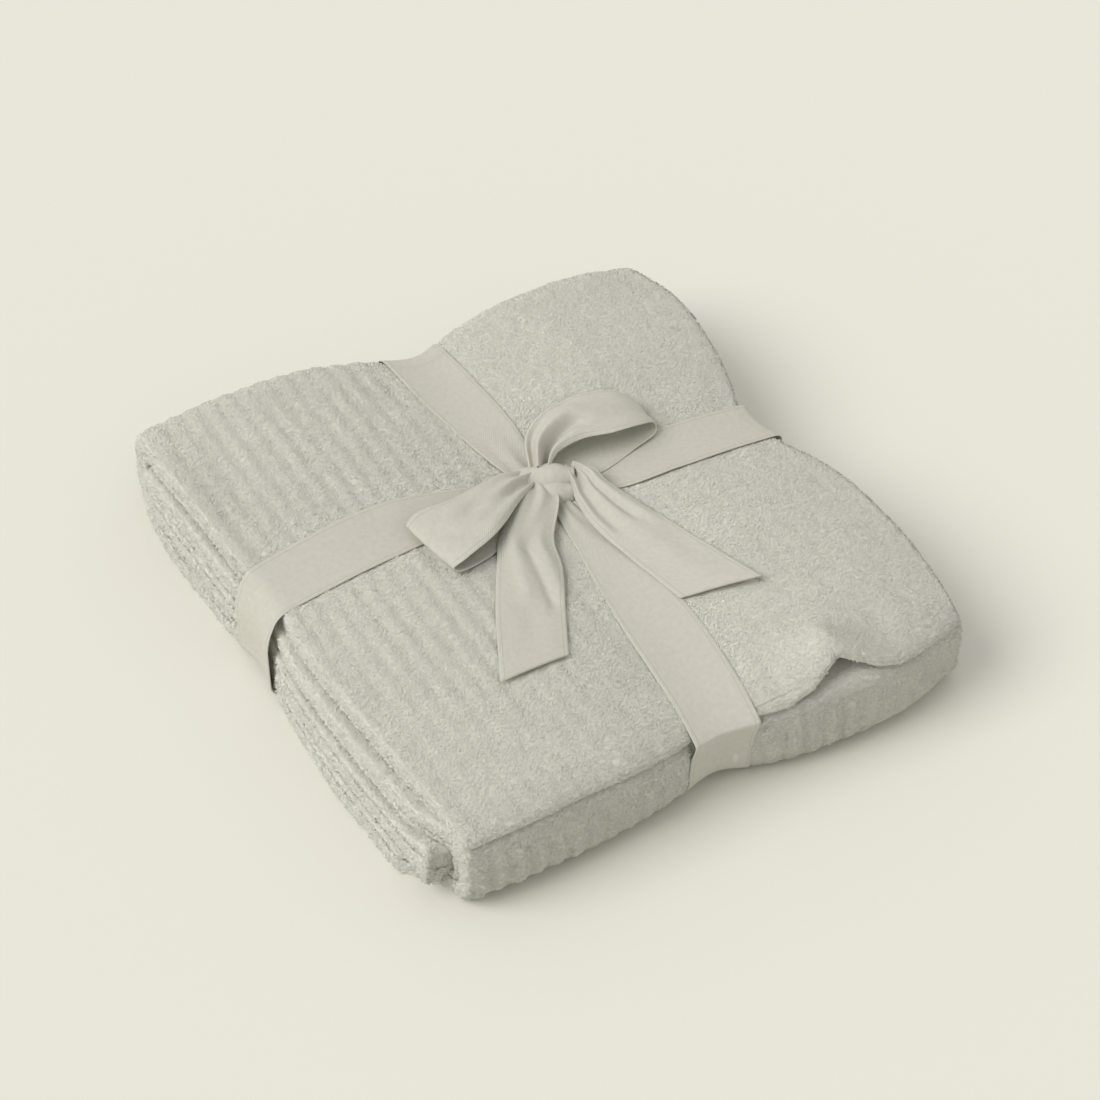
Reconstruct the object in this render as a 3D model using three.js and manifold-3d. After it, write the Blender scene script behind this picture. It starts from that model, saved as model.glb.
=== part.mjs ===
// A ribbed throw blanket, folded to a square and tied crosswise with a cotton tape in a bow.
// Millimetres, +Z up. The origin is at the middle of the folded square, on the surface it lies on.
//
// The blanket is one sheet of thick knit, folded twice. First its width is folded back and forth
// into three layers, which gives a long bundle. Then the bundle is folded into four panels, one on
// another: it runs from the free end at the top front over the back, along the bottom, up the
// front, and back and forth once more inside. A point of the sheet is worked out from a station
// along the bundle and a point of the bundle's cross-section, and is then settled as the tape
// draws the pile in.

import * as THREE from "three";
import { mergeVertices } from "three/addons/utils/BufferGeometryUtils.js";
import Module from "manifold-3d";

// The cloth
const CLOTH_THICKNESS = 5.6;
const LAYER_GAP = 0.6;
const PANEL_GAP = 0.8;
const RIB_PITCH = 14;
const RIB_HEIGHT = 1.5;
const RIB_START_X = -197;

// The folded pile
const LAYERS = 3;
const BUNDLE_THICKNESS = LAYERS * CLOTH_THICKNESS + (LAYERS - 1) * LAYER_GAP;
const PANEL_PITCH = BUNDLE_THICKNESS + PANEL_GAP;
const PILE_HEIGHT = 4 * BUNDLE_THICKNESS + 3 * PANEL_GAP;
const BACK_FACE_Y = 225;
const FRONT_FACE_Y = -222;
const TOP_FREE_END_Y = -214;
const INNER_FREE_END_Y = -197;
const BACK_FOLD_RADIUS = 13;
const FRONT_FOLD_RADIUS = 12;
const FREE_END_INNER_RADIUS = 0.4;
const INNER_BACK_GAP = 1.4;
// How far the free ends of the outermost and innermost layer stop short of the bundle's sides
const OUTER_END_INSET = 3;
const INNER_END_INSET = 2;
// How far a cut edge rounds out, as a share of the cloth's thickness
const CUT_EDGE_BULGE = 0.28;
// How square the folded sides are pressed: 1 is round, and less is squarer
const LEFT_ROLL_SQUARENESS = 0.7;
const ROUND = 1;

// Where the ribs are combed flat on the top and on the front face, and by what share
const TOP_COMBED = { fromX: -30, toX: 60, share: 0.7 };
const FRONT_COMBED = { fromX: 90, toX: 150, share: 0.8 };
// Where the two tapes press the ribs flat, how far from their middles, and by what share
const ACROSS_TAPE_Y = 38;
const ALONG_TAPE_X = 14;
const TAPE_PRESS_REACH = 60;
const TAPE_PRESS_SHARE = 0.75;

// How finely the folds are divided
const QUARTER_TURN_STEPS = 3;
const HALF_TURN_STEPS = 6;
const STATION_MARGIN = 6;
const COLUMN_MARGIN = 5;
const RIB_MARGIN = 3;

// The tape
const TAPE_THICKNESS = 1.2;
const TAPE_CLEARANCE = 1.3;
const ACROSS_TAPE_RAISE = 0.5;

// The sections of the cross-section's outline that are the free ends of the innermost and the
// outermost layer
const END_INSIDE = 5;
const END_OUTSIDE = 11;
// The places of a face's first and last point within its section of the outline, and a width that
// is wider than any panel, over which the places of its other points are shared out
const FACE_START = 0;
const FACE_END = 0.999;
const PLACES_WIDTH = 500;
// A place past the last section, and the difference below which two places are the same
const PAST_LAST_SECTION = 100;
const SAME_PLACE = 1e-6;
const HALF_BUNDLE = BUNDLE_THICKNESS / 2;
const LAYER_PITCH = CLOTH_THICKNESS + LAYER_GAP;

// Heights of the middle of each panel of the bundle
const BOTTOM_Z = HALF_BUNDLE;
const INNER_LOW_Z = BOTTOM_Z + PANEL_PITCH;
const INNER_HIGH_Z = BOTTOM_Z + 2 * PANEL_PITCH;
const TOP_Z = BOTTOM_Z + 3 * PANEL_PITCH;
const SEAM_Z = TOP_Z - HALF_BUNDLE - PANEL_GAP / 2;

// Where each panel's rolled left side and its open right side lie, at the front and at the back.
const PANEL_SIDES = {
  top: { leftFront: -178, leftBack: -196, rightFront: 208, rightBack: 204 },
  back: { leftFront: -196, leftBack: -196, rightFront: 204, rightBack: 204 },
  bottom: { leftFront: -199, leftBack: -199, rightFront: 207, rightBack: 204 },
  front: { leftFront: -178, leftBack: -178, rightFront: 211, rightBack: 211 },
  innerHigh: { leftFront: -187, leftBack: -199, rightFront: 211, rightBack: 205 },
  innerBack: { leftFront: -200, leftBack: -200, rightFront: 205, rightBack: 205 },
  innerLow: { leftFront: -195, leftBack: -200, rightFront: 212, rightBack: 206 },
};
// The left side of the panels that reach the front fold runs in to the fold's own over this stretch.
const LEFT_NOTCH_FROM_Y = -198;
const LEFT_NOTCH_TO_Y = -174;

// How the pile settles across its width and its depth: by what share the top is pressed down, how
// far the underside is lifted over the tape, and by what share the outline is drawn in there. Near
// the front the seam under the top panel rises, as the panel thins out to its free end.
const ACROSS = [
  { x: -212, press: 0.07, lift: 0, drawFront: 0.03, drawBack: 0.02 },
  { x: -158, press: 0.01, lift: 0, drawFront: 0, drawBack: 0 },
  { x: -105, press: -0.01, lift: 0, drawFront: 0, drawBack: 0 },
  { x: -62, press: 0.01, lift: 0, drawFront: 0.008, drawBack: 0.012 },
  { x: -28, press: 0.05, lift: 0, drawFront: 0.03, drawBack: 0.05 },
  { x: 14, press: 0.1, lift: 6.5, drawFront: 0.062, drawBack: 0.115 },
  { x: 56, press: 0.05, lift: 0, drawFront: 0.02, drawBack: 0.06 },
  { x: 100, press: 0, lift: 0, drawFront: -0.005, drawBack: 0.04 },
  { x: 158, press: 0.02, lift: 0, drawFront: -0.005, drawBack: 0.036 },
  { x: 214, press: 0.1, lift: 0, drawFront: 0.07, drawBack: 0.08 },
];
const ALONG = [
  { y: -226, press: 0.05, lift: 0, drawLeft: 0.02, drawRight: 0.035, seamRise: 11, frontShare: 1 },
  { y: -150, press: 0, lift: 0, drawLeft: 0, drawRight: -0.005, seamRise: 2, frontShare: 0 },
  { y: -52, press: 0.01, lift: 0, drawLeft: -0.01, drawRight: 0.02, seamRise: 0, frontShare: 0 },
  { y: -14, press: 0.05, lift: 0, drawLeft: 0.005, drawRight: 0.08, seamRise: 0, frontShare: 0 },
  { y: 28, press: 0.1, lift: 7.6, drawLeft: 0.035, drawRight: 0.115, seamRise: 0, frontShare: 0 },
  { y: 70, press: 0.05, lift: 0, drawLeft: 0.01, drawRight: 0.06, seamRise: 0, frontShare: 0 },
  { y: 120, press: 0, lift: 0, drawLeft: 0, drawRight: 0.02, seamRise: 0, frontShare: 0 },
  { y: 168, press: 0.01, lift: 0, drawLeft: 0, drawRight: 0.012, seamRise: 0, frontShare: 0 },
  { y: 228, press: 0.07, lift: 0, drawLeft: 0.03, drawRight: 0.07, seamRise: 0, frontShare: 0 },
];
// How far the front stands out by height: most where the front face meets the top panel's edge.
const UPWARDS = [
  { z: 0, push: 0 },
  { z: 30, push: 0 },
  { z: 42, push: 2 },
  { z: 50, push: 6 },
  { z: 56, push: 9 },
  { z: 66, push: 7 },
  { z: 76, push: 2 },
];

// Where the top panel stands up from the panel below it, and by how much.
const TOP_PANEL_LIFTS = [
  { x: 104, y: -214, reachX: 40, reachY: 60, height: 11 },
  { x: -204, y: 140, reachX: 46, reachY: 60, height: 5 },
];

// A table's named column at a place between its rows, on straight lines.
function between(table, place, column, at) {
  const last = table.length - 1;
  const clamped = THREE.MathUtils.clamp(at, table[0][place], table[last][place]);
  let row = 0;
  while (row < last - 1 && clamped > table[row + 1][place]) row += 1;
  const lower = table[row];
  const upper = table[row + 1];
  const share = (clamped - lower[place]) / (upper[place] - lower[place]);
  return THREE.MathUtils.lerp(lower[column], upper[column], share);
}

// The share by which the pile is pressed down at a place.
function pressAt(x, y) {
  return between(ACROSS, "x", "press", x) + between(ALONG, "y", "press", y);
}

// The settled place of a point of the plain pile, which may be raised over its place there.
function settle(x, y, z, raised = 0) {
  const press = pressAt(x, y);
  const lift = between(ACROSS, "x", "lift", x) + between(ALONG, "y", "lift", y);
  const drawX = between(ALONG, "y", x < 0 ? "drawLeft" : "drawRight", y);
  const drawY = between(ACROSS, "x", y < 0 ? "drawFront" : "drawBack", x);
  const rise = between(ALONG, "y", "seamRise", y);
  const seamShare = z < SEAM_Z ? z / SEAM_Z : Math.max(0, (PILE_HEIGHT - z) / (PILE_HEIGHT - SEAM_Z));
  const push = between(UPWARDS, "z", "push", z) * between(ALONG, "y", "frontShare", y);
  return new THREE.Vector3(
    x * (1 - drawX),
    y * (1 - drawY) - push,
    (z + raised + rise * seamShare) * (1 - press) + lift * (1 - z / PILE_HEIGHT),
  );
}

// A smooth hump, 1 at the middle and 0 from its reach on.
function hump(distance) {
  return Math.abs(distance) < 1 ? 0.5 + 0.5 * Math.cos(Math.PI * distance) : 0;
}

// How far the top panel is raised at a place.
function topPanelLift(x, y) {
  const slope = (distance) => Math.max(0, 1 - Math.abs(distance));
  return TOP_PANEL_LIFTS.reduce(
    (sum, lift) =>
      sum + lift.height * slope((x - lift.x) / lift.reachX) * hump((y - lift.y) / lift.reachY),
    0,
  );
}

// Stations along the bundle: the middle of the bundle and the direction that faces outwards.
function panelStations(panel, z, fromY, toY, outward) {
  const way = Math.sign(toY - fromY);
  const inside = ALONG.map((row) => row.y).filter(
    (y) => (y - fromY) * way > STATION_MARGIN && (toY - y) * way > STATION_MARGIN,
  );
  if (way < 0) inside.reverse();
  return [fromY, ...inside, toY].map((y) => ({ panel, y, z, ny: 0, nz: outward }));
}

function turnStations(panel, centreY, centreZ, radius, fromAngle, toAngle, steps) {
  const stations = [];
  for (let step = 1; step < steps; step += 1) {
    const angle = THREE.MathUtils.degToRad(
      THREE.MathUtils.lerp(fromAngle, toAngle, step / steps),
    );
    const ny = Math.cos(angle);
    const nz = Math.sin(angle);
    stations.push({ panel, y: centreY + radius * ny, z: centreZ + radius * nz, ny, nz });
  }
  return stations;
}

function bundleStations() {
  const backY = BACK_FACE_Y - HALF_BUNDLE - BACK_FOLD_RADIUS;
  const frontY = FRONT_FACE_Y + HALF_BUNDLE + FRONT_FOLD_RADIUS;
  const innerRadius = PANEL_PITCH / 2;
  const innerBackY =
    BACK_FACE_Y - BUNDLE_THICKNESS - INNER_BACK_GAP - HALF_BUNDLE - innerRadius;
  const upright = (panel, y, z, ny) => ({ panel, y, z, ny, nz: 0 });
  const freeEndRadius = HALF_BUNDLE + FREE_END_INNER_RADIUS;
  const topFrontY = TOP_FREE_END_Y + HALF_BUNDLE + freeEndRadius;
  const freeEndZ = TOP_Z - freeEndRadius;
  const backHighZ = TOP_Z - BACK_FOLD_RADIUS;
  const backLowZ = BOTTOM_Z + BACK_FOLD_RADIUS;
  const frontHighZ = INNER_HIGH_Z - FRONT_FOLD_RADIUS;
  const frontLowZ = BOTTOM_Z + FRONT_FOLD_RADIUS;
  const innerBackZ = (INNER_HIGH_Z + INNER_LOW_Z) / 2;
  return [
    { panel: "top", y: topFrontY - freeEndRadius, z: freeEndZ, ny: -1, nz: 0 },
    ...turnStations("top", topFrontY, freeEndZ, freeEndRadius, 180, 90, QUARTER_TURN_STEPS),
    ...panelStations("top", TOP_Z, topFrontY, backY, 1),
    ...turnStations("back", backY, backHighZ, BACK_FOLD_RADIUS, 90, 0, QUARTER_TURN_STEPS),
    upright("back", backY + BACK_FOLD_RADIUS, backHighZ, 1),
    upright("back", backY + BACK_FOLD_RADIUS, backLowZ, 1),
    ...turnStations("back", backY, backLowZ, BACK_FOLD_RADIUS, 0, -90, QUARTER_TURN_STEPS),
    ...panelStations("bottom", BOTTOM_Z, backY, frontY, -1),
    ...turnStations("front", frontY, frontLowZ, FRONT_FOLD_RADIUS, -90, -180, QUARTER_TURN_STEPS),
    upright("front", frontY - FRONT_FOLD_RADIUS, frontLowZ, -1),
    upright("front", frontY - FRONT_FOLD_RADIUS, frontHighZ, -1),
    ...turnStations("front", frontY, frontHighZ, FRONT_FOLD_RADIUS, 180, 90, QUARTER_TURN_STEPS),
    ...panelStations("innerHigh", INNER_HIGH_Z, frontY, innerBackY, 1),
    ...turnStations("innerBack", innerBackY, innerBackZ, innerRadius, 90, -90, HALF_TURN_STEPS),
    ...panelStations("innerLow", INNER_LOW_Z, innerBackY, INNER_FREE_END_Y, -1),
  ];
}

function sideOf(station, side) {
  const sides = PANEL_SIDES[station.panel];
  const share = (station.y - FRONT_FACE_Y) / (BACK_FACE_Y - FRONT_FACE_Y);
  const own = THREE.MathUtils.lerp(sides[side + "Front"], sides[side + "Back"], share);
  const meetsFrontFold = station.panel === "bottom" || station.panel === "innerHigh";
  if (side !== "left" || !meetsFrontFold) return own;
  const away = THREE.MathUtils.smoothstep(station.y, LEFT_NOTCH_FROM_Y, LEFT_NOTCH_TO_Y);
  return THREE.MathUtils.lerp(PANEL_SIDES.front.leftFront, own, away);
}

// The share of the full rib that stands at a place. The ribs are combed flat into the pile over the
// right-hand half of the top and at the front's right end. They are pressed flat under the tape, and
// run out where the front fold turns in under the top panel and at that panel's rim.
function ribShare(station, x) {
  if (!["top", "back", "front"].includes(station.panel)) return 0;
  const combed = station.panel === "front" ? FRONT_COMBED : TOP_COMBED;
  const standing = 1 - combed.share * THREE.MathUtils.smoothstep(x, combed.fromX, combed.toX);
  const overAcross = station.panel === "top" ? hump((station.y - ACROSS_TAPE_Y) / TAPE_PRESS_REACH) : 0;
  const overAlong = hump((x - ALONG_TAPE_X) / TAPE_PRESS_REACH);
  const pressed = TAPE_PRESS_SHARE * Math.max(overAcross, overAlong);
  const clearOfFloor = THREE.MathUtils.smoothstep(station.nz, -0.9, -0.2);
  const upwards = THREE.MathUtils.smoothstep(station.nz, 0, 0.4);
  const atRim = { top: upwards, front: 1 - upwards, back: 1 }[station.panel];
  return standing * clearOfFloor * atRim * (1 - pressed);
}

function columnsBetween(left, right) {
  const within = (x) => x > left + COLUMN_MARGIN && x < right - COLUMN_MARGIN;
  return ACROSS.map((row) => row.x).filter(within);
}

// The closed outline of the bundle's cross-section at a station, as points (x, h) with h towards
// the outside, each with its place along the outline, so that neighbouring stations can be joined.
function sectionOutline(station, withRibs) {
  const left = sideOf(station, "left");
  const right = sideOf(station, "right");
  const outerTurn = CLOTH_THICKNESS + LAYER_GAP / 2;
  const innerTurn = LAYER_GAP / 2;
  const leftCentre = left + outerTurn;
  const rightCentre = right - outerTurn;
  const faces = {
    outerTop: HALF_BUNDLE,
    outerUnder: HALF_BUNDLE - CLOTH_THICKNESS,
    middleTop: HALF_BUNDLE - LAYER_PITCH,
    middleUnder: -CLOTH_THICKNESS / 2,
    innerTop: -HALF_BUNDLE + CLOTH_THICKNESS,
    innerUnder: -HALF_BUNDLE,
  };
  const outline = [];
  const add = (section, share, x, h) => outline.push({ at: section + share, x, h });
  const run = (section, fromX, toX, h) => {
    const way = Math.sign(toX - fromX);
    const columns = columnsBetween(Math.min(fromX, toX), Math.max(fromX, toX));
    if (way < 0) columns.reverse();
    add(section, FACE_START, fromX, h);
    columns.forEach((x) => add(section, shareAcross(x, way), x, h));
    add(section, FACE_END, toX, h);
  };
  // A place across the pile as a share that doesn't depend on how wide the panel is.
  const shareAcross = (x, way) => 0.5 + (way * x) / PLACES_WIDTH;
  const pressedOut = (share, squareness) => Math.sign(share) * Math.abs(share) ** squareness;
  const bend = (section, centreX, centreH, fromAngle, toAngle, squareness) => {
    for (let step = 1; step < HALF_TURN_STEPS; step += 1) {
      const share = step / HALF_TURN_STEPS;
      const angle = THREE.MathUtils.degToRad(THREE.MathUtils.lerp(fromAngle, toAngle, share));
      const over = outerTurn * pressedOut(Math.cos(angle), squareness);
      const up = outerTurn * pressedOut(Math.sin(angle), squareness);
      add(section, share, centreX + over, centreH + up);
    }
  };
  const freeEnd = right - OUTER_END_INSET;
  const innerFreeEnd = left + INNER_END_INSET;
  const bulge = CLOTH_THICKNESS * CUT_EDGE_BULGE;
  // The outer face, from the open right side to the rolled left side
  if (withRibs) {
    const halfPitch = RIB_PITCH / 2;
    const columns = [];
    for (let step = 0; RIB_START_X + step * halfPitch < right; step += 1) {
      const x = RIB_START_X + step * halfPitch;
      const onFace = x > leftCentre + RIB_MARGIN && x < freeEnd - RIB_MARGIN;
      if (onFace) columns.push({ x, crest: step % 2 === 0 });
    }
    columns.reverse();
    add(0, FACE_START, freeEnd, faces.outerTop);
    columns.forEach(({ x, crest }) => {
      const rise = crest ? RIB_HEIGHT * ribShare(station, x) : 0;
      add(0, shareAcross(x, -1), x, faces.outerTop + rise);
    });
    add(0, FACE_END, leftCentre, faces.outerTop);
  } else {
    run(0, freeEnd, leftCentre, faces.outerTop);
  }
  bend(1, leftCentre, HALF_BUNDLE - outerTurn, 90, 270, LEFT_ROLL_SQUARENESS);
  run(2, leftCentre, rightCentre, faces.middleUnder);
  add(3, 0.5, rightCentre + innerTurn, -HALF_BUNDLE + outerTurn);
  run(4, rightCentre, innerFreeEnd, faces.innerTop);
  add(5, 0.5, innerFreeEnd - bulge, -HALF_BUNDLE + CLOTH_THICKNESS / 2);
  run(6, innerFreeEnd, rightCentre, faces.innerUnder);
  bend(7, rightCentre, -HALF_BUNDLE + outerTurn, -90, 90, ROUND);
  run(8, rightCentre, leftCentre, faces.middleTop);
  add(9, 0.5, leftCentre - innerTurn, HALF_BUNDLE - outerTurn);
  run(10, leftCentre, freeEnd, faces.outerUnder);
  add(11, 0.5, freeEnd + bulge, HALF_BUNDLE - CLOTH_THICKNESS / 2);
  return outline;
}

// The place in the settled pile of a point of the cross-section.
function placeInPile(station, x, h) {
  const y = station.y + station.ny * h;
  const z = station.z + station.nz * h;
  const raised = station.panel === "top" ? topPanelLift(x, station.y) : 0;
  return settle(x, y, z, raised);
}

// The place of the point after one of a closed row, which for the last one is past every section.
function nextPlace(row, index) {
  if (index >= row.length) return Infinity;
  return index + 1 < row.length ? row[index + 1].at : PAST_LAST_SECTION;
}

// Joins two closed rows of points with triangles, by their places along the outline. Where both
// rows step on together, the dividing line of each four-sided cell runs the same way in every layer.
function joinRows(triangles, rowA, rowB) {
  const countA = rowA.length;
  const countB = rowB.length;
  let a = 0;
  let b = 0;
  while (a < countA || b < countB) {
    const nextA = nextPlace(rowA, a);
    const nextB = nextPlace(rowB, b);
    const together = Math.abs(nextA - nextB) < SAME_PLACE;
    const pointA = rowA[a % countA];
    const pointB = rowB[b % countB];
    const stepX = rowA[(a + 1) % countA].x - pointA.x;
    const slantsTogether = stepX * (pointB.y - pointA.y) > 0;
    const moveA = together ? slantsTogether : nextA < nextB;
    if (moveA) {
      triangles.push(pointA.index, pointB.index, rowA[(a + 1) % countA].index);
      a += 1;
    } else {
      triangles.push(pointA.index, pointB.index, rowB[(b + 1) % countB].index);
      b += 1;
    }
  }
}

// Closes an end of the bundle: the cut edge of the sheet, joined across from its one side to the
// other along the three layers and round the rolled end of each side.
function capRow(triangles, row, facesOut) {
  const oneSide = row.filter((point) => point.at < END_INSIDE);
  const otherSide = row
    .filter((point) => point.at >= END_INSIDE + 1 && point.at < END_OUTSIDE)
    .map((point) => ({ ...point, at: END_OUTSIDE - point.at }))
    .reverse();
  const insideEnd = row.find((point) => Math.floor(point.at) === END_INSIDE);
  const outsideEnd = row.find((point) => Math.floor(point.at) === END_OUTSIDE);
  const add = (first, second, third) => {
    if (facesOut) triangles.push(first.index, second.index, third.index);
    else triangles.push(first.index, third.index, second.index);
  };
  add(outsideEnd, oneSide[0], otherSide[0]);
  let a = 0;
  let b = 0;
  while (a < oneSide.length - 1 || b < otherSide.length - 1) {
    const nextA = a < oneSide.length - 1 ? oneSide[a + 1].at : Infinity;
    const nextB = b < otherSide.length - 1 ? otherSide[b + 1].at : Infinity;
    if (nextA < nextB) {
      add(oneSide[a], oneSide[a + 1], otherSide[b]);
      a += 1;
    } else {
      add(oneSide[a], otherSide[b + 1], otherSide[b]);
      b += 1;
    }
  }
  add(oneSide[a], insideEnd, otherSide[b]);
}

function blanketGeometry() {
  const positions = [];
  const triangles = [];
  const rows = bundleStations().map((station, order, all) => {
    const neighbours = [all[order - 1], station, all[order + 1]].filter(Boolean);
    const ribbed = neighbours.some((near) => ["top", "back", "front"].includes(near.panel));
    return sectionOutline(station, ribbed).map((point) => {
      const index = positions.length / 3;
      const place = placeInPile(station, point.x, point.h);
      positions.push(place.x, place.y, place.z);
      return { ...point, y: station.y, index };
    });
  });
  rows.slice(1).forEach((row, order) => joinRows(triangles, rows[order], row));
  capRow(triangles, rows[0], true);
  capRow(triangles, rows[rows.length - 1], false);
  return indexedGeometry(positions, triangles);
}

function indexedGeometry(positions, triangles) {
  const geometry = new THREE.BufferGeometry();
  geometry.setAttribute("position", new THREE.Float32BufferAttribute(positions, 3));
  geometry.setIndex(triangles);
  return geometry;
}

// The crosswise tape, by its front and back edges over the top and under the bottom.
const ACROSS_TAPE = [
  { x: -204, frontTop: 10, backTop: 56, frontUnder: 4, backUnder: 52 },
  { x: -150, frontTop: 14, backTop: 61, frontUnder: 4, backUnder: 52 },
  { x: -90, frontTop: 19, backTop: 65, frontUnder: 4, backUnder: 52 },
  { x: -40, frontTop: 24, backTop: 60, frontUnder: 4, backUnder: 52 },
  { x: 4, frontTop: 30, backTop: 52, frontUnder: 4, backUnder: 52 },
  { x: 44, frontTop: 16, backTop: 42, frontUnder: 4, backUnder: 52 },
  { x: 76, frontTop: 0, backTop: 41, frontUnder: 4, backUnder: 52 },
  { x: 120, frontTop: -4, backTop: 39, frontUnder: 4, backUnder: 52 },
  { x: 214, frontTop: -5, backTop: 38, frontUnder: 4, backUnder: 52 },
];
// The lengthwise tape, by its left and right edges over the top and under the bottom.
const ALONG_TAPE = [
  { y: -226, leftTop: -9, rightTop: 39, leftUnder: -9, rightUnder: 38 },
  { y: -184, leftTop: -5, rightTop: 43, leftUnder: -9, rightUnder: 38 },
  { y: -120, leftTop: 0, rightTop: 46, leftUnder: -9, rightUnder: 38 },
  { y: -66, leftTop: 7, rightTop: 42, leftUnder: -9, rightUnder: 38 },
  { y: -15, leftTop: 17, rightTop: 38, leftUnder: -9, rightUnder: 38 },
  { y: 24, leftTop: 22, rightTop: 36, leftUnder: -9, rightUnder: 38 },
  { y: 58, leftTop: 10, rightTop: 34, leftUnder: -9, rightUnder: 38 },
  { y: 98, leftTop: -1, rightTop: 36, leftUnder: -9, rightUnder: 38 },
  { y: 150, leftTop: -9, rightTop: 34, leftUnder: -9, rightUnder: 38 },
  { y: 228, leftTop: -11, rightTop: 33, leftUnder: -10, rightUnder: 37 },
];
// The corners of the way each tape takes round the pile, in the plain pile, and how they round off.
const TAPE_TOP_Z = PILE_HEIGHT + TAPE_CLEARANCE;
const ACROSS_TAPE_CORNERS = [
  { a: 211.5, z: TAPE_TOP_Z + ACROSS_TAPE_RAISE, radius: 8 },
  { a: 211.5, z: -TAPE_CLEARANCE - ACROSS_TAPE_RAISE, radius: 8 },
  { a: -202.5, z: -TAPE_CLEARANCE - ACROSS_TAPE_RAISE, radius: 9 },
  { a: -202.5, z: 52, radius: 12 },
  { a: -192, z: TAPE_TOP_Z + ACROSS_TAPE_RAISE, radius: 9 },
];
const ALONG_TAPE_CORNERS = [
  { a: BACK_FACE_Y + TAPE_CLEARANCE, z: TAPE_TOP_Z, radius: 22 },
  { a: BACK_FACE_Y + TAPE_CLEARANCE, z: -TAPE_CLEARANCE, radius: 22 },
  { a: FRONT_FACE_Y - TAPE_CLEARANCE, z: -TAPE_CLEARANCE, radius: 21 },
  { a: FRONT_FACE_Y - TAPE_CLEARANCE, z: 46, radius: 12 },
  { a: TOP_FREE_END_Y - TAPE_CLEARANCE, z: TAPE_TOP_Z, radius: 17 },
];

const CORNER_STEPS = 4;
const STOP_MARGIN = 4;

// The closed way round the pile: its corners rounded off, with a stop at each row of the settling
// table in between. Each stop has its place (a, z) and the direction that faces outwards.
function wayRound(corners, stops) {
  const ahead = corners.map((corner, i) => corners[(i + 1) % corners.length]);
  const points = [];
  corners.forEach((corner, i) => {
    const before = corners[(i + corners.length - 1) % corners.length];
    const here = new THREE.Vector2(corner.a, corner.z);
    const toward = (other) =>
      new THREE.Vector2(other.a, other.z).sub(here).setLength(corner.radius).add(here);
    const rounded = new THREE.QuadraticBezierCurve(toward(before), here, toward(ahead[i]));
    points.push(...rounded.getPoints(CORNER_STEPS));
    const last = points[points.length - 1];
    const next = new THREE.Vector2(ahead[i].a, ahead[i].z);
    const nextStart = here.clone().sub(next).setLength(ahead[i].radius).add(next);
    const low = Math.min(last.x, nextStart.x) + STOP_MARGIN;
    const high = Math.max(last.x, nextStart.x) - STOP_MARGIN;
    const onTheWay = stops.filter((stop) => stop > low && stop < high);
    if (nextStart.x < last.x) onTheWay.reverse();
    onTheWay.forEach((stop) => {
      const share = (stop - last.x) / (nextStart.x - last.x);
      points.push(new THREE.Vector2(stop, THREE.MathUtils.lerp(last.y, nextStart.y, share)));
    });
  });
  return points.map((point, i) => {
    const before = points[(i + points.length - 1) % points.length];
    const after = points[(i + 1) % points.length];
    const along = after.clone().sub(before).normalize();
    return { a: point.x, z: point.y, na: -along.y, nz: along.x };
  });
}

// Rows of points, each a closed ring round a strip, joined into a tube and closed at its ends
// unless the tube itself runs round.
function tubeGeometry(rings, runsRound) {
  const positions = rings.flat().flatMap((point) => [point.x, point.y, point.z]);
  const size = rings[0].length;
  const triangles = [];
  const joins = runsRound ? rings.length : rings.length - 1;
  for (let ring = 0; ring < joins; ring += 1) {
    const here = ring * size;
    const next = ((ring + 1) % rings.length) * size;
    for (let side = 0; side < size; side += 1) {
      const turn = (side + 1) % size;
      triangles.push(here + side, next + side, here + turn);
      triangles.push(here + turn, next + side, next + turn);
    }
  }
  if (!runsRound) {
    const last = (rings.length - 1) * size;
    const half = size / 2;
    for (let side = 0; side < half - 1; side += 1) {
      const far = size - 1 - side;
      triangles.push(side, side + 1, far, side + 1, far - 1, far);
      triangles.push(last + side, last + far, last + side + 1);
      triangles.push(last + side + 1, last + far, last + far - 1);
    }
  }
  return indexedGeometry(positions, triangles);
}

// A ring of the tape round the pile: at each stop an inner and an outer row of points from the
// one edge over the middle to the other.
function tapeRound(corners, stops, edgesAt, place) {
  const rings = wayRound(corners, stops).map((stop) => {
    const [first, second] = edgesAt(stop.a, stop.z);
    const across = [second, (first + second) / 2, first];
    const row = (out) =>
      across.map((side) => place(side, stop.a + stop.na * out, stop.z + stop.nz * out));
    return [...row(0), ...row(TAPE_THICKNESS).reverse()];
  });
  return tubeGeometry(rings, true);
}

function tapeEdges(table, place, columns, at, z) {
  const over = THREE.MathUtils.clamp(z / PILE_HEIGHT, 0, 1);
  return columns.map(([top, under]) =>
    THREE.MathUtils.lerp(between(table, place, under, at), between(table, place, top, at), over),
  );
}

const acrossTape = tapeRound(
  ACROSS_TAPE_CORNERS,
  ACROSS.map((row) => row.x),
  (x, z) =>
    tapeEdges(ACROSS_TAPE, "x", [["frontTop", "frontUnder"], ["backTop", "backUnder"]], x, z),
  (side, x, z) => settle(x, side, z),
);
const alongTape = tapeRound(
  ALONG_TAPE_CORNERS,
  ALONG.map((row) => row.y),
  (y, z) =>
    tapeEdges(ALONG_TAPE, "y", [["rightTop", "rightUnder"], ["leftTop", "leftUnder"]], y, z),
  (side, y, z) => settle(side, y, z),
);

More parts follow.
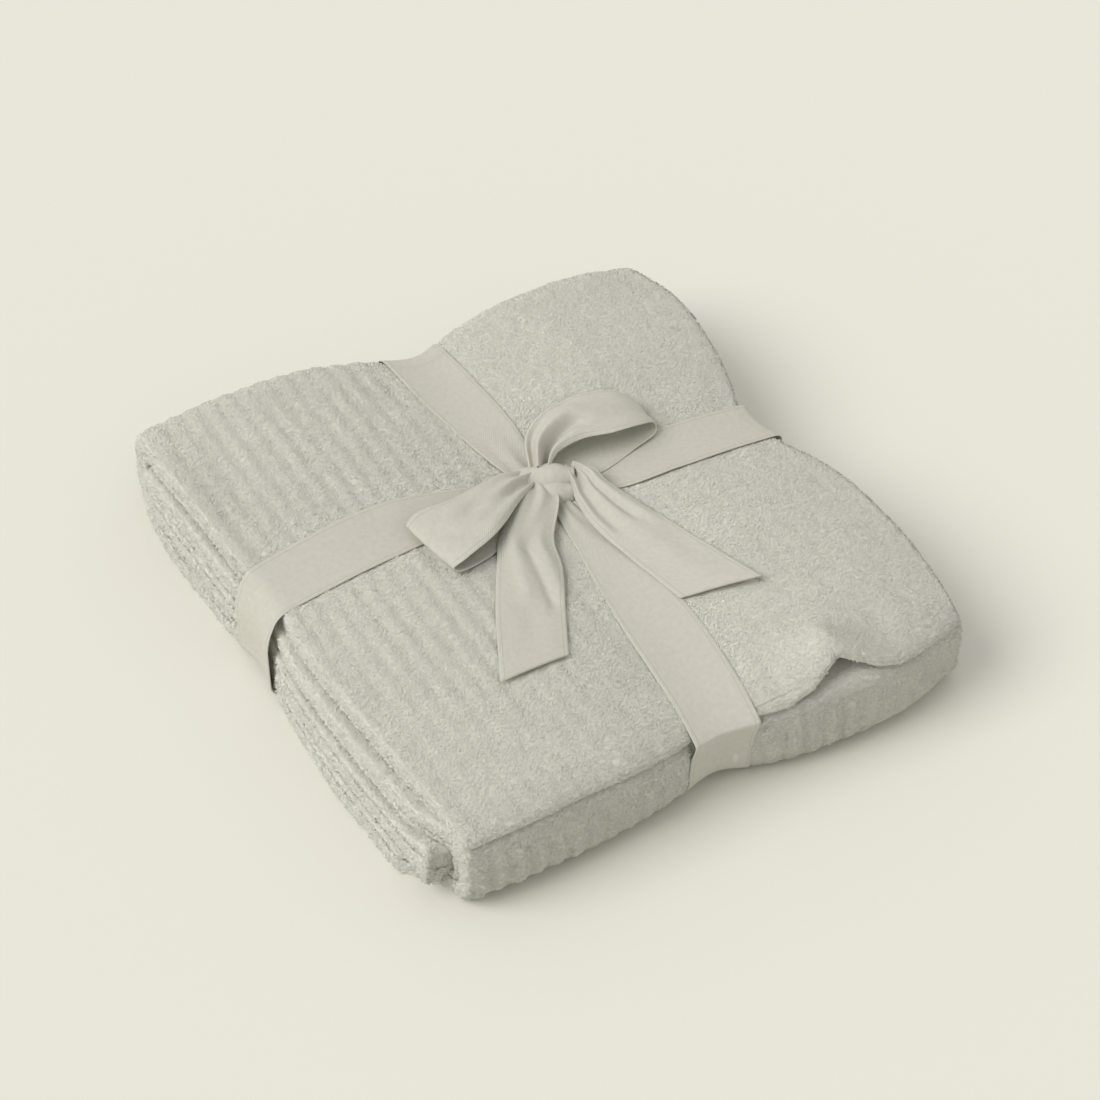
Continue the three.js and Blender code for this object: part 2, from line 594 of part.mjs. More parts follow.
// The bow's strips of tape, each by its two edges from one end to the other. Each edge has its
// place (x, y) and its height over the settled top of the pile, and bow is how far the middle
// of the strip stands out from the line between them.
const LEFT_TAIL = [
  { ax: 10, ay: 38, ah: 7, bx: 25, by: 32, bh: 8, bow: 2 },
  { ax: 1, ay: 26, ah: 8, bx: 25, by: 13, bh: 8, bow: 3 },
  { ax: -28, ay: -1, ah: 5, bx: 2, by: -20, bh: 6, bow: 4 },
  { ax: -43, ay: -24, ah: 3.5, bx: -8, by: -49, bh: 4, bow: 3 },
  { ax: -68, ay: -67, ah: 3.2, bx: -28, by: -87, bh: 3.2, bow: 0.8 },
  { ax: -96, ay: -123, ah: 3.2, bx: -46, by: -122, bh: 3.6, bow: 0.4 },
];
const RIGHT_TAIL = [
  { ax: 43, ay: 34, ah: 8, bx: 51, by: 34, bh: 10, bow: 1 },
  { ax: 38, ay: 17, ah: 9, bx: 56, by: 18, bh: 13, bow: 2 },
  { ax: 32, ay: 0, ah: 8, bx: 58, by: 4, bh: 10, bow: 3 },
  { ax: 31, ay: -28, ah: 4.5, bx: 67, by: -26, bh: 5.5, bow: 2 },
  { ax: 38, ay: -72, ah: 2.4, bx: 82, by: -74, bh: 3, bow: 1 },
  { ax: 45, ay: -111, ah: 2.4, bx: 96, by: -128, bh: 7, bow: 0.6 },
];
const LEFT_LOOP = [
  { ax: 18, ay: 44, ah: 10, bx: 20, by: 34, bh: 10, bow: 1 },
  { ax: -4, ay: 45, ah: 15, bx: -2, by: 18, bh: 14, bow: 3 },
  { ax: -42, ay: 38, ah: 14, bx: -34, by: -9, bh: 13, bow: 3 },
  { ax: -68, ay: 38, ah: 13, bx: -62, by: -20, bh: 10, bow: 1 },
  { ax: -79, ay: 34, ah: 9, bx: -73, by: -19, bh: 6, bow: 0.5 },
  { ax: -70, ay: 34, ah: 4.6, bx: -64, by: -20, bh: 3.6, bow: 0.5 },
  { ax: -42, ay: 40, ah: 4.4, bx: -34, by: -9, bh: 3.6, bow: 0.5 },
  { ax: -4, ay: 46, ah: 4.6, bx: -4, by: 19, bh: 4.4, bow: 0.5 },
  { ax: 20, ay: 44, ah: 5, bx: 20, by: 34, bh: 5, bow: 0.5 },
];
const RIGHT_LOOP = [
  { ax: 30, ay: 36, ah: 12, bx: 20, by: 44, bh: 12, bow: 1 },
  { ax: 42, ay: 42, ah: 17, bx: 30, by: 66, bh: 17, bow: 3 },
  { ax: 60, ay: 40, ah: 21, bx: 50, by: 76, bh: 20, bow: 4 },
  { ax: 80, ay: 33, ah: 22, bx: 74, by: 78, bh: 18, bow: 3 },
  { ax: 100, ay: 33, ah: 18, bx: 98, by: 72, bh: 15, bow: 2 },
  { ax: 113, ay: 36, ah: 11, bx: 112, by: 60, bh: 10, bow: 1 },
  { ax: 112, ay: 32, ah: 5, bx: 112, by: 58, bh: 5, bow: 0.5 },
  { ax: 92, ay: 27, ah: 3.4, bx: 98, by: 56, bh: 3.4, bow: 0.5 },
  { ax: 64, ay: 21, ah: 3.4, bx: 68, by: 52, bh: 3.6, bow: 0.5 },
  { ax: 46, ay: 27, ah: 4.5, bx: 46, by: 48, bh: 5, bow: 0.5 },
  { ax: 28, ay: 36, ah: 6, bx: 26, by: 46, bh: 6, bow: 0.5 },
];
const STRIP_STEPS_PER_ROW = 3;
const STRIP_COLUMNS = [0, 0.25, 0.5, 0.75, 1];

// A place (x, y) at a height over the settled top of the pile.
function overTop(x, y, height) {
  return new THREE.Vector3(x, y, PILE_HEIGHT * (1 - pressAt(x, y)) + height);
}

// A strip of tape between two smooth edges through a table's rows. It is shaped over a flat top
// and then laid over the settled one.
function stripGeometry(rows) {
  const firstEdge = new THREE.CatmullRomCurve3(
    rows.map((row) => new THREE.Vector3(row.ax, row.ay, row.ah)),
  );
  const secondEdge = new THREE.CatmullRomCurve3(
    rows.map((row) => new THREE.Vector3(row.bx, row.by, row.bh)),
  );
  const spans = rows.length - 1;
  const steps = spans * STRIP_STEPS_PER_ROW;
  const rings = [];
  for (let step = 0; step <= steps; step += 1) {
    const share = step / steps;
    const row = Math.min(Math.floor(share * spans), spans - 1);
    const bow = THREE.MathUtils.lerp(rows[row].bow, rows[row + 1].bow, share * spans - row);
    const first = firstEdge.getPoint(share);
    const second = secondEdge.getPoint(share);
    const along = firstEdge.getTangent(share).add(secondEdge.getTangent(share));
    const normal = along.cross(second.clone().sub(first)).normalize();
    const face = (side) =>
      STRIP_COLUMNS.map((column) => {
        const out = bow * Math.sin(Math.PI * column) + (side * TAPE_THICKNESS) / 2;
        return first.clone().lerp(second, column).addScaledVector(normal, out);
      });
    const ring = [...face(1), ...face(-1).reverse()];
    rings.push(ring.map((point) => overTop(point.x, point.y, point.z)));
  }
  return tubeGeometry(rings, false);
}

// The knot: two turns of gathered tape, one over the other.
const KNOT_SEGMENTS = 14;
const KNOT_RINGS = 9;
const KNOT_TURNS = [
  { x: 27, y: 36, height: 9.4, halfLength: 20, halfWidth: 9, halfHeight: 8, turnDeg: -28 },
  { x: 23, y: 27, height: 7.2, halfLength: 18, halfWidth: 8, halfHeight: 5.8, turnDeg: -28 },
];

function knotTurnGeometry(turn) {
  const geometry = new THREE.SphereGeometry(1, KNOT_SEGMENTS, KNOT_RINGS);
  geometry.scale(turn.halfLength, turn.halfWidth, turn.halfHeight);
  geometry.rotateZ(THREE.MathUtils.degToRad(turn.turnDeg));
  const centre = overTop(turn.x, turn.y, turn.height);
  geometry.translate(centre.x, centre.y, centre.z);
  return geometry;
}

// Joins closed shapes into one solid. Points closer than the merge distance are one point.
const MERGE_DISTANCE = 1e-3;
const wasm = await Module();
wasm.setup();

function solidFrom(geometry) {
  const bare = geometry.clone();
  bare.deleteAttribute("normal");
  bare.deleteAttribute("uv");
  const merged = mergeVertices(bare, MERGE_DISTANCE);
  const mesh = new wasm.Mesh({
    numProp: 3,
    vertProperties: new Float32Array(merged.attributes.position.array),
    triVerts: new Uint32Array(merged.index.array),
  });
  return new wasm.Manifold(mesh);
}

function joinedGeometry(geometries) {
  const joined = geometries
    .map(solidFrom)
    .reduce((sum, solid) => sum.add(solid))
    .getMesh();
  return indexedGeometry(Array.from(joined.vertProperties), Array.from(joined.triVerts));
}

const tieGeometry = joinedGeometry([
  acrossTape,
  alongTape,
  ...[LEFT_TAIL, RIGHT_TAIL, LEFT_LOOP, RIGHT_LOOP].map(stripGeometry),
  ...KNOT_TURNS.map(knotTurnGeometry),
]);

const blanketMaterial = new THREE.MeshStandardMaterial({
  name: "ivory_knit",
  color: 0xe4e1d6,
  roughness: 0.95,
  metalness: 0,
});
const blanket = new THREE.Mesh(blanketGeometry(), blanketMaterial);
blanket.name = "blanket";

const tapeMaterial = new THREE.MeshStandardMaterial({
  name: "cream_twill",
  color: 0xdedacb,
  roughness: 0.85,
  metalness: 0,
});
const tie = new THREE.Mesh(tieGeometry, tapeMaterial);
tie.name = "tie";

// The tables have their middle a little to the left of the folded square's.
const MIDDLE_X = 4.6;
const group = new THREE.Group();
group.add(blanket, tie);
group.position.x = -MIDDLE_X;
export default group;
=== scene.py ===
import math
from collections import namedtuple

import bpy
import numpy as np
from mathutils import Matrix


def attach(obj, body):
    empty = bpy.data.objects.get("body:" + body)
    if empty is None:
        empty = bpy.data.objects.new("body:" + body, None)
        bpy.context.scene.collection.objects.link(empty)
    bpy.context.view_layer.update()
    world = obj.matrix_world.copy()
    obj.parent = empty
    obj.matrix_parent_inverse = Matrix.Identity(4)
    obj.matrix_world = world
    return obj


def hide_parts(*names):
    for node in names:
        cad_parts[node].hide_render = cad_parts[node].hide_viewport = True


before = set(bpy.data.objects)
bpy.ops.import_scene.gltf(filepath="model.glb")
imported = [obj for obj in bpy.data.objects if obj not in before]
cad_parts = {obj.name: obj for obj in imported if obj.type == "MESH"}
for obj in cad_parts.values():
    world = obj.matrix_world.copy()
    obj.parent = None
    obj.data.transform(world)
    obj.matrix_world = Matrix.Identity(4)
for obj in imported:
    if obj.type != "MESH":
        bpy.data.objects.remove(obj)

bl_info = {
    "name": "Folded throw with tape bow",
    "version": (1, 0, 0),
    "blender": (4, 5, 0),
    "location": "View3D > Sidebar > Throw",
    "description": "Dresses the folded throw and its tape bow over their packed solids",
    "category": "Object",
}

MM = 0.001
# A length below which a direction isn't scaled up
TINY = 1e-9

# The cloth and its folds, in millimetres, as in the solids
CLOTH_THICKNESS = 5.6
LAYER_GAP = 0.6
PANEL_GAP = 0.8
LAYERS = 3
LAYER_PITCH = CLOTH_THICKNESS + LAYER_GAP
BUNDLE_THICKNESS = LAYERS * CLOTH_THICKNESS + (LAYERS - 1) * LAYER_GAP
HALF_BUNDLE = BUNDLE_THICKNESS / 2
PANEL_PITCH = BUNDLE_THICKNESS + PANEL_GAP
PILE_HEIGHT = 4 * BUNDLE_THICKNESS + 3 * PANEL_GAP
MIDDLE_X = 4.6
BACK_FACE_Y = 225
FRONT_FACE_Y = -222
TOP_FREE_END_Y = -214
INNER_FREE_END_Y = -197
BACK_FOLD_RADIUS = 13
FRONT_FOLD_RADIUS = 12
FREE_END_RADIUS = HALF_BUNDLE + 0.4
INNER_BACK_GAP = 1.4
BOTTOM_Z = HALF_BUNDLE
INNER_LOW_Z = BOTTOM_Z + PANEL_PITCH
INNER_HIGH_Z = BOTTOM_Z + 2 * PANEL_PITCH
TOP_Z = BOTTOM_Z + 3 * PANEL_PITCH
SEAM_Z = TOP_Z - HALF_BUNDLE - PANEL_GAP / 2
RIB_START_X = -197
# The front's ribs stand out more than the top's, and all of them vary by a share round a mean
FRONT_RIB_SHARE = 2.6
RIB_MEAN = 0.8
RIB_UNEVEN = 0.35
# Where the ribs are worn down: by a share that grows from one place to another
Worn = namedtuple("Worn", "share start end")
WORN_TO_RIGHT = Worn(0.7, -30, 60)
WORN_TO_FRONT = Worn(0.65, 70, 170)
WORN_FRONT_RIGHT = Worn(0.8, 90, 150)
# The bands press the ribs down: their middles, how far that reaches, and the share pressed
BAND_ACROSS_Y = 38
BAND_ALONG_X = 14
BAND_PRESS_REACH = 60
BAND_PRESS_SHARE = 0.75
# Ribs run out where the surface turns: over the rim by how far it faces up, and towards the
# underside between these two
RIM_FADE = 0.4
UNDERSIDE_FROM = -0.9
UNDERSIDE_TO = -0.2
# The cut edges: how far they stand in from the sides, how far they bulge as a share of the
# thickness, and the shares of the height and of the bulge at which they have points
OUTER_END_INSET = 3
INNER_END_INSET = 2
CUT_EDGE_BULGE = 0.28
INNER_EDGE_LEVELS = (0.2, 0.5, 0.8)
OUTER_EDGE_LEVELS = ((0.2, 0.7), (0.5, 1), (0.8, 0.7))
# How square the left roll is pressed: 1 is round, and less is squarer
LEFT_ROLL_SQUARENESS = 0.5
# Which way the outside of a turn faces, in degrees
AT_FRONT, AT_TOP, AT_BACK, AT_BOTTOM = 180, 90, 0, -90
HALF_TURN = 180
# How finely the folds are divided along the bundle, and how many times farther apart the points
# of hidden panels are
TURN_STEPS = 9
LOW_TURN_STEPS = 7
INNER_TURN_STEPS = 10
END_STEPS = 6
HIDDEN_SPACING = 5
# The outer face's width, for its number of points, and the steps of the section's other parts
PANEL_WIDTH = 395
HIDDEN_FACE_STEPS = 24
LEFT_ROLL_STEPS = 14
RIGHT_ROLL_STEPS = 12
GROOVE_STEPS = 4
# Random heights: the size of their lattice, and a size and a seed for each
LATTICE = 64
Lumps = namedtuple("Lumps", "size seed")
BROKEN_RIBS = Lumps(19, 14)
SOFT_LUMPS = Lumps(46, 11)
DIMPLES = Lumps(13, 12)
GRAIN = Lumps(4, 13)
# The plush: a tuft's foot is this deep in the cloth, lengths and widths vary between these
# shares, and it is longer at the left side from one distance to another
TUFT_FOOT_DEPTH = 0.2
TUFT_LENGTHS = (0.5, 1.4)
TUFT_WIDTHS = (0.75, 1.25)
SIDE_PLUSH_FROM = 165
SIDE_PLUSH_TO = 180
TUFT_ANGLES = (90, 210, 330)
TUFT_FACES = ((0, 1, 3), (1, 2, 3), (2, 0, 3))
TUFT_UPWARDS = (0.0, 0.0, 0.0, 1.0)
PLUSH_PIECES = 4
PLACES_SEED = 21
TUFTS_SEED = 31
# Nothing of the plush goes lower than this, and it covers the cloth from a little higher on
LOWEST_Z = 0.2
SHOWN_FROM_Z = 1
# How far light spreads in the cloth
SPREAD_OF_LIGHT = 2.5
# Near the left side the plush closes the gaps: by how much each panel and each layer swells, and
# over how long a way the swelling grows
PANEL_SWELL = 0.08
LAYER_SWELL = 0.35
SWELL_DEPTH = 10
# How far in from the pile's sides the plush still shows between the folds
SIDE_DEPTH = 14
# The cloth's flat map: metres from one row and one column of points to the next
FLAT_ROW = 0.0026
FLAT_COLUMN = 0.0022

# Each panel's left and right side, at the front and at the back
Sides = namedtuple("Sides", "left_front left_back right_front right_back")
PANEL_SIDES = {
    "top": Sides(-178, -196, 208, 204),
    "back": Sides(-196, -196, 204, 204),
    "bottom": Sides(-199, -199, 207, 204),
    "front": Sides(-178, -178, 211, 211),
    "inner_high": Sides(-187, -199, 211, 205),
    "inner_back": Sides(-200, -200, 205, 205),
    "inner_low": Sides(-195, -200, 212, 206),
}
PANELS = list(PANEL_SIDES)
LEFT_NOTCH_FROM_Y = -198
LEFT_NOTCH_TO_Y = -174
# The lowest inner panel fills that notch as a soft lump, from this far out on the left, and its
# free end is rounded
NOTCH_FROM_X = -176
NOTCH_FULL_X = -186
NOTCH_FILL = 0.85
END_ROUNDING = 6
THINNEST_END = 0.12

# How the pile settles across its width and along its depth
Across = namedtuple("Across", "x press lift draw_front draw_back")
ACROSS = [
    Across(-212, 0.07, 0, 0.03, 0.02),
    Across(-158, 0.01, 0, 0, 0),
    Across(-105, -0.01, 0, 0, 0),
    Across(-62, 0.01, 0, 0.008, 0.012),
    Across(-28, 0.05, 0, 0.03, 0.05),
    Across(14, 0.1, 6.5, 0.062, 0.115),
    Across(56, 0.05, 0, 0.02, 0.06),
    Across(100, 0, 0, -0.005, 0.04),
    Across(158, 0.02, 0, -0.005, 0.036),
    Across(214, 0.1, 0, 0.07, 0.08),
]
Along = namedtuple("Along", "y press lift draw_left draw_right seam_rise front_share")
ALONG = [
    Along(-226, 0.05, 0, 0.02, 0.035, 11, 1),
    Along(-150, 0, 0, 0, -0.005, 2, 0),
    Along(-52, 0.01, 0, -0.01, 0.02, 0, 0),
    Along(-14, 0.05, 0, 0.005, 0.08, 0, 0),
    Along(28, 0.1, 7.6, 0.035, 0.115, 0, 0),
    Along(70, 0.05, 0, 0.01, 0.06, 0, 0),
    Along(120, 0, 0, 0, 0.02, 0, 0),
    Along(168, 0.01, 0, 0, 0.012, 0, 0),
    Along(228, 0.07, 0, 0.03, 0.07, 0, 0),
]
# How far the front leans out at each height; the front share above says how much of it there is
Upward = namedtuple("Upward", "z push")
UPWARDS = [
    Upward(0, 0),
    Upward(30, 0),
    Upward(42, 2),
    Upward(50, 6),
    Upward(56, 9),
    Upward(66, 7),
    Upward(76, 2),
]
# Where the top panel stands up from the panel below it, by how much, and how far it draws back
Lift = namedtuple("Lift", "x y reach_x reach_y height back")
TOP_PANEL_LIFTS = [
    Lift(104, -214, 42, 60, 10, 6),
    Lift(106, -214, 24, 45, 5, 7),
    Lift(-204, 140, 46, 60, 5, 0),
]

# The two bands' edges, over the top of the pile and under it
AcrossBand = namedtuple("AcrossBand", "x front_top back_top front_under back_under")
ACROSS_BAND = [
    AcrossBand(-204, 10, 56, 4, 52),
    AcrossBand(-150, 14, 61, 4, 52),
    AcrossBand(-90, 19, 65, 4, 52),
    AcrossBand(-40, 24, 60, 4, 52),
    AcrossBand(4, 30, 52, 4, 52),
    AcrossBand(44, 16, 42, 4, 52),
    AcrossBand(76, 0, 41, 4, 52),
    AcrossBand(120, -4, 39, 4, 52),
    AcrossBand(214, -5, 38, 4, 52),
]
AlongBand = namedtuple("AlongBand", "y left_top right_top left_under right_under")
ALONG_BAND = [
    AlongBand(-226, -9, 39, -9, 38),
    AlongBand(-184, -5, 43, -9, 38),
    AlongBand(-120, 0, 46, -9, 38),
    AlongBand(-66, 7, 42, -9, 38),
    AlongBand(-15, 17, 38, -9, 38),
    AlongBand(24, 22, 36, -9, 38),
    AlongBand(58, 10, 34, -9, 38),
    AlongBand(98, -1, 36, -9, 38),
    AlongBand(150, -9, 34, -9, 38),
    AlongBand(228, -11, 33, -10, 37),
]

# The rounded way that each band takes round the plain pile
Corner = namedtuple("Corner", "a z radius")
BAND_CLEARANCE = 0.6
TAPE_WIDTH = 48
# The tape bends unevenly at two sizes, and a crease fades more slowly along its line than across
WIDE_BEND_SIZE = 17
WIDE_BEND = 0.5
FINE_BEND_SIZE = 6
FINE_BEND = 0.15
CREASE_STRETCH = 0.5
PLEAT_FADE = 0.5
STRIP_STEPS = 22
STRIP_COLUMNS = 41
# The bands' points, their pleats near the knot and their unevenness on top of the pile
CORNER_POINTS = 9
BAND_SPACING = 3
BAND_COLUMNS = 25
BAND_PLEATS = 2
BAND_PLEAT_HEIGHT = 2.4
BAND_PLEAT_REACH = 95
BAND_PLEAT_SHARPNESS = 1.3
BAND_BEND_SIZE = 19
BAND_BEND = 0.35
BAND_BEND_FROM_Z = 4
DEEPEST_BEND = -0.3
KNOT_X = 26
KNOT_Y = 38
# A map of where the tape covers the top: its reach, its cells' size, and how finely strips are
# laid on it, with a margin at the bands' edges and the depth that counts as the top
MAP_REACH = 240
MAP_CELL = 2
MAP_CELLS = 2 * MAP_REACH // MAP_CELL
MAP_STEPS = 400
MAP_SHARES = (0.01, 0.99, 60)
BAND_MARGIN = 1
TOP_DEPTH = 12
# Noise in the materials: its fineness and detail, and the shares between which the tone changes
Noise = namedtuple("Noise", "scale detail dark_until light_from", defaults=(0, 1))
KNIT_PATCHES = Noise(38, 4, 0.3, 0.7)
KNIT_GRAIN = Noise(620, 3)
TAPE_SLUB = Noise(260, 4, 0.25, 0.75)
# Fine relief in the materials: its strength, and its height in metres
Relief = namedtuple("Relief", "strength distance")
KNIT_RELIEF = Relief(0.35, 0.0008)
TAPE_RELIEF = Relief(0.35, 0.0004)
KNIT_ROUGHNESS = 0.95
TAPE_ROUGHNESS = 0.85
TAPE_SHEEN = 0.1
# How much of the light goes into the cloth, and how far each of its colours spreads
LIGHT_SHARE_INSIDE = 0.6
LIGHT_COLOURS_INSIDE = (1, 0.95, 0.85)
# Painted shade at a tuft's foot: the tone there, and the share of its length above which it has its
# full tone
TUFT_FOOT_PAINTED_SHADE = 0.9
TUFT_PAINTED_SHADE_ENDS_AT = 0.8
# The twill's slant and unevenness, its share of the relief, and the selvedge line's tone
TWILL_ANGLE = math.radians(45)
TWILL_DISTORTION = 0.6
TWILL_DETAIL = 1
TWILL_SHARE = 0.6
SELVEDGE_TONE = 0.86
# The fine line beside each of the tape's edges, from the tape's middle
SELVEDGE_AT = 21.2
SELVEDGE_WIDTH = 0.7
ACROSS_BAND_CORNERS = [
    Corner(211.5, PILE_HEIGHT + BAND_CLEARANCE + 0.6, 8),
    Corner(211.5, -BAND_CLEARANCE - 0.6, 8),
    Corner(-202.5, -BAND_CLEARANCE - 0.6, 9),
    Corner(-202.5, 52, 12),
    Corner(-192, PILE_HEIGHT + BAND_CLEARANCE + 0.6, 9),
]
ALONG_BAND_CORNERS = [
    Corner(BACK_FACE_Y + 0.6, PILE_HEIGHT + BAND_CLEARANCE, 22),
    Corner(BACK_FACE_Y + 0.6, -BAND_CLEARANCE, 22),
    Corner(FRONT_FACE_Y - 0.6, -BAND_CLEARANCE, 21),
    Corner(FRONT_FACE_Y - 0.6, 46, 12),
    Corner(TOP_FREE_END_Y - 0.6, PILE_HEIGHT + BAND_CLEARANCE, 17),
]

Band = namedtuple("Band", "name corners table place first second knot_at runs_across seed")
BANDS = [
    Band("band_across", ACROSS_BAND_CORNERS, ACROSS_BAND, "x", "front", "back", KNOT_X, True, 41),
    Band("band_along", ALONG_BAND_CORNERS, ALONG_BAND, "y", "right", "left", KNOT_Y, False, 42),
]

# The bow's strips, by their two edges (x, y and height over the settled top). Bow is how far the
# middle stands out, and gather is the height of the pleats across the strip.
Edges = namedtuple("Edges", "ax ay ah bx by bh bow gather")
LEFT_TAIL = [
    Edges(10, 38, 7, 25, 32, 8, 2, 2.6),
    Edges(1, 26, 8, 25, 13, 8, 3, 2.6),
    Edges(-28, -1, 5, 2, -20, 6, 4, 1.2),
    Edges(-43, -24, 3.5, -8, -49, 4, 3, 0.4),
    Edges(-68, -67, 3.2, -28, -87, 3.2, 0.8, 0),
    Edges(-96, -123, 3.2, -46, -122, 3.6, 0.4, 0),
]
RIGHT_TAIL = [
    Edges(43, 34, 8, 51, 34, 10, 1, 2.2),
    Edges(38, 17, 9, 56, 18, 13, 2, 2),
    Edges(32, 0, 8, 58, 4, 10, 3, 1),
    Edges(31, -28, 4.5, 67, -26, 5.5, 2, 0.4),
    Edges(38, -72, 2.4, 82, -74, 3, 1, 0),
    Edges(45, -111, 2.4, 96, -128, 7, 0.6, 0),
]
LEFT_LOOP = [
    Edges(18, 44, 10, 20, 34, 10, 1, 2.8),
    Edges(-4, 45, 15, -2, 18, 14, 3, 2.8),
    Edges(-42, 38, 14, -34, -8, 16, 3, 1),
    Edges(-68, 38, 13, -62, -19, 14, 1, 0.2),
    Edges(-79, 34, 9, -73, -19, 8, 0.5, 0),
    Edges(-70, 34, 4.6, -64, -20, 3.2, 0.5, 0),
    Edges(-42, 40, 4.4, -34, -10, 2.8, 0.5, 0),
    Edges(-4, 46, 4.6, -4, 19, 4.4, 0.5, 0),
    Edges(20, 44, 5, 20, 34, 5, 0.5, 0),
]
RIGHT_LOOP = [
    Edges(30, 36, 12, 20, 44, 12, 1, 2.8),
    Edges(42, 42, 17, 30, 66, 17, 3, 2.8),
    Edges(60, 40, 21, 50, 76, 20, 4, 1.6),
    Edges(80, 33, 22, 74, 78, 18, 3, 0.5),
    Edges(100, 33, 18, 98, 72, 15, 2, 0),
    Edges(113, 36, 11, 112, 60, 10, 1, 0),
    Edges(112, 32, 5, 112, 58, 5, 0.5, 0),
    Edges(92, 27, 3.4, 98, 56, 3.4, 0.5, 0),
    Edges(64, 21, 3.4, 68, 52, 3.6, 0.5, 0),
    Edges(46, 27, 4.5, 46, 48, 5, 0.5, 0),
    Edges(28, 36, 6, 26, 46, 6, 0.5, 0),
]

# Creases of a tape laid flat: from one place to another (across the tape, along it), how wide and
# how high, where a trough has a height below 0
Crease = namedtuple("Crease", "across_from along_from across_to along_to width height")
CREASES = {
    "bow_left_tail": [
        Crease(12, 8, 13, 66, 8, 3),
        Crease(36, 10, 30, 62, 7, -2.2),
        Crease(24, 74, 40, 120, 4, -2.2),
        Crease(14, 78, 22, 112, 6, 2),
        Crease(36, 66, 45, 106, 5, 1.6),
        Crease(20, 120, 26, 150, 8, -1),
    ],
    "bow_right_tail": [
        Crease(5, 4, 5, 66, 5, 3),
        Crease(16, 8, 14, 60, 5, -1.6),
        Crease(30, 6, 33, 62, 4, -3),
        Crease(40, 8, 42, 70, 5, 1.8),
        Crease(22, 60, 26, 130, 9, 1.2),
    ],
    "bow_left_loop": [
        Crease(30, 24, 20, 60, 6, -3),
        Crease(38, 22, 40, 62, 7, 2.4),
        Crease(14, 20, 10, 64, 7, 2),
        Crease(40, 70, 22, 92, 5, -1.2),
    ],
    "bow_right_loop": [
        Crease(12, 4, 20, 40, 5, -7),
        Crease(4, 8, 8, 36, 5, 2.5),
        Crease(26, 10, 33, 46, 6, 2.5),
        Crease(40, 12, 44, 50, 5, -2.5),
        Crease(14, 60, 20, 95, 9, -1.2),
    ],
    "knot_upper_turn": [
        Crease(2, 20, 46, 20, 3, -1.2),
        Crease(6, 26, 44, 25, 4, 1),
    ],
    "knot_lower_turn": [Crease(4, 14, 44, 16, 3, -0.9)],
    "band_across": [],
    "band_along": [],
}

# The knot's turns of tape: middle, half length along the knot's own axis, how far each reaches
# towards the back and the front, its height over the settled top, and its seed
Turn = namedtuple("Turn", "name x y half_length depth height seed")
KNOT_TURNS = [
    Turn("knot_upper_turn", 27, 36, 20, 8.5, 16.5, 61),
    Turn("knot_lower_turn", 22, 26, 19, 7, 12.5, 63),
]
KNOT_ANGLE = math.radians(-28)
# Each turn's way over the crossing in degrees, the lowest share of its height, its foot, how far
# its sides are tucked down, and its bow and pleats
KNOT_FROM = -20
KNOT_TO = 200
KNOT_STEPS = 40
KNOT_LOWEST = -0.3
KNOT_FOOT = 3
KNOT_LEFT_TUCK = 5
KNOT_RIGHT_TUCK = 4
KNOT_BOW = 3.5
KNOT_GATHER = 0.7
KNOT_PLEATS = 1.5
KNOT_COLUMNS = 29

# The bow's four strips: their edges, number of pleats and seed
Strip = namedtuple("Strip", "name edges pleats seed")
BOW_STRIPS = [
    Strip("bow_left_tail", LEFT_TAIL, 1.5, 51),
    Strip("bow_right_tail", RIGHT_TAIL, 1.5, 53),
    Strip("bow_left_loop", LEFT_LOOP, 2, 55),
    Strip("bow_right_loop", RIGHT_LOOP, 2, 57),
]

# The photo's viewpoint
CAMERA_AZIMUTH = math.radians(-30)
CAMERA_ELEVATION = math.radians(45)
CAMERA_LENS = 114.5
CAMERA_FOCAL_PIXELS = 3500
CAMERA_DISTANCE = 2385
CAMERA_OFFSET = (5.5, 39)
CAMERA_ORIGIN = (9.4, -2, 0)
# The key light shines from here, over the left side of the pile, and all light has this colour
KEY_PLACE = (-3.3, 0.5, 3.3)
LIGHT_COLOUR = (1, 0.985, 0.95)
FLOOR_REACH = 6000
FARTHEST_SEEN = 30


def column(table, name):
    """One named column of a table as an array."""
    return np.array([getattr(row, name) for row in table], float)


def smooth_between(places, values, at):
    """A smooth curve through a table: a cubic between each two rows, whose slope at a row is the
    mean of the slopes of the straight lines on its two sides."""
    at = np.clip(at, places[0], places[-1])
    slopes = np.diff(values) / np.diff(places)
    tangents = np.concatenate((slopes[:1], (slopes[1:] + slopes[:-1]) / 2, slopes[-1:]))
    row = np.clip(np.searchsorted(places, at, side="right") - 1, 0, len(places) - 2)
    width = places[row + 1] - places[row]
    t = (at - places[row]) / width
    return (
        values[row] * (1 + 2 * t) * (1 - t) ** 2
        + tangents[row] * width * t * (1 - t) ** 2
        + values[row + 1] * t**2 * (3 - 2 * t)
        - tangents[row + 1] * width * t**2 * (1 - t)
    )


def across(name, x):
    """A column of the table across the pile at places."""
    return smooth_between(column(ACROSS, "x"), column(ACROSS, name), x)


def along(name, y):
    """A column of the table along the pile at places."""
    return smooth_between(column(ALONG, "y"), column(ALONG, name), y)


def press_at(x, y):
    """The share by which the pile is pressed down at a place."""
    return across("press", x) + along("press", y)


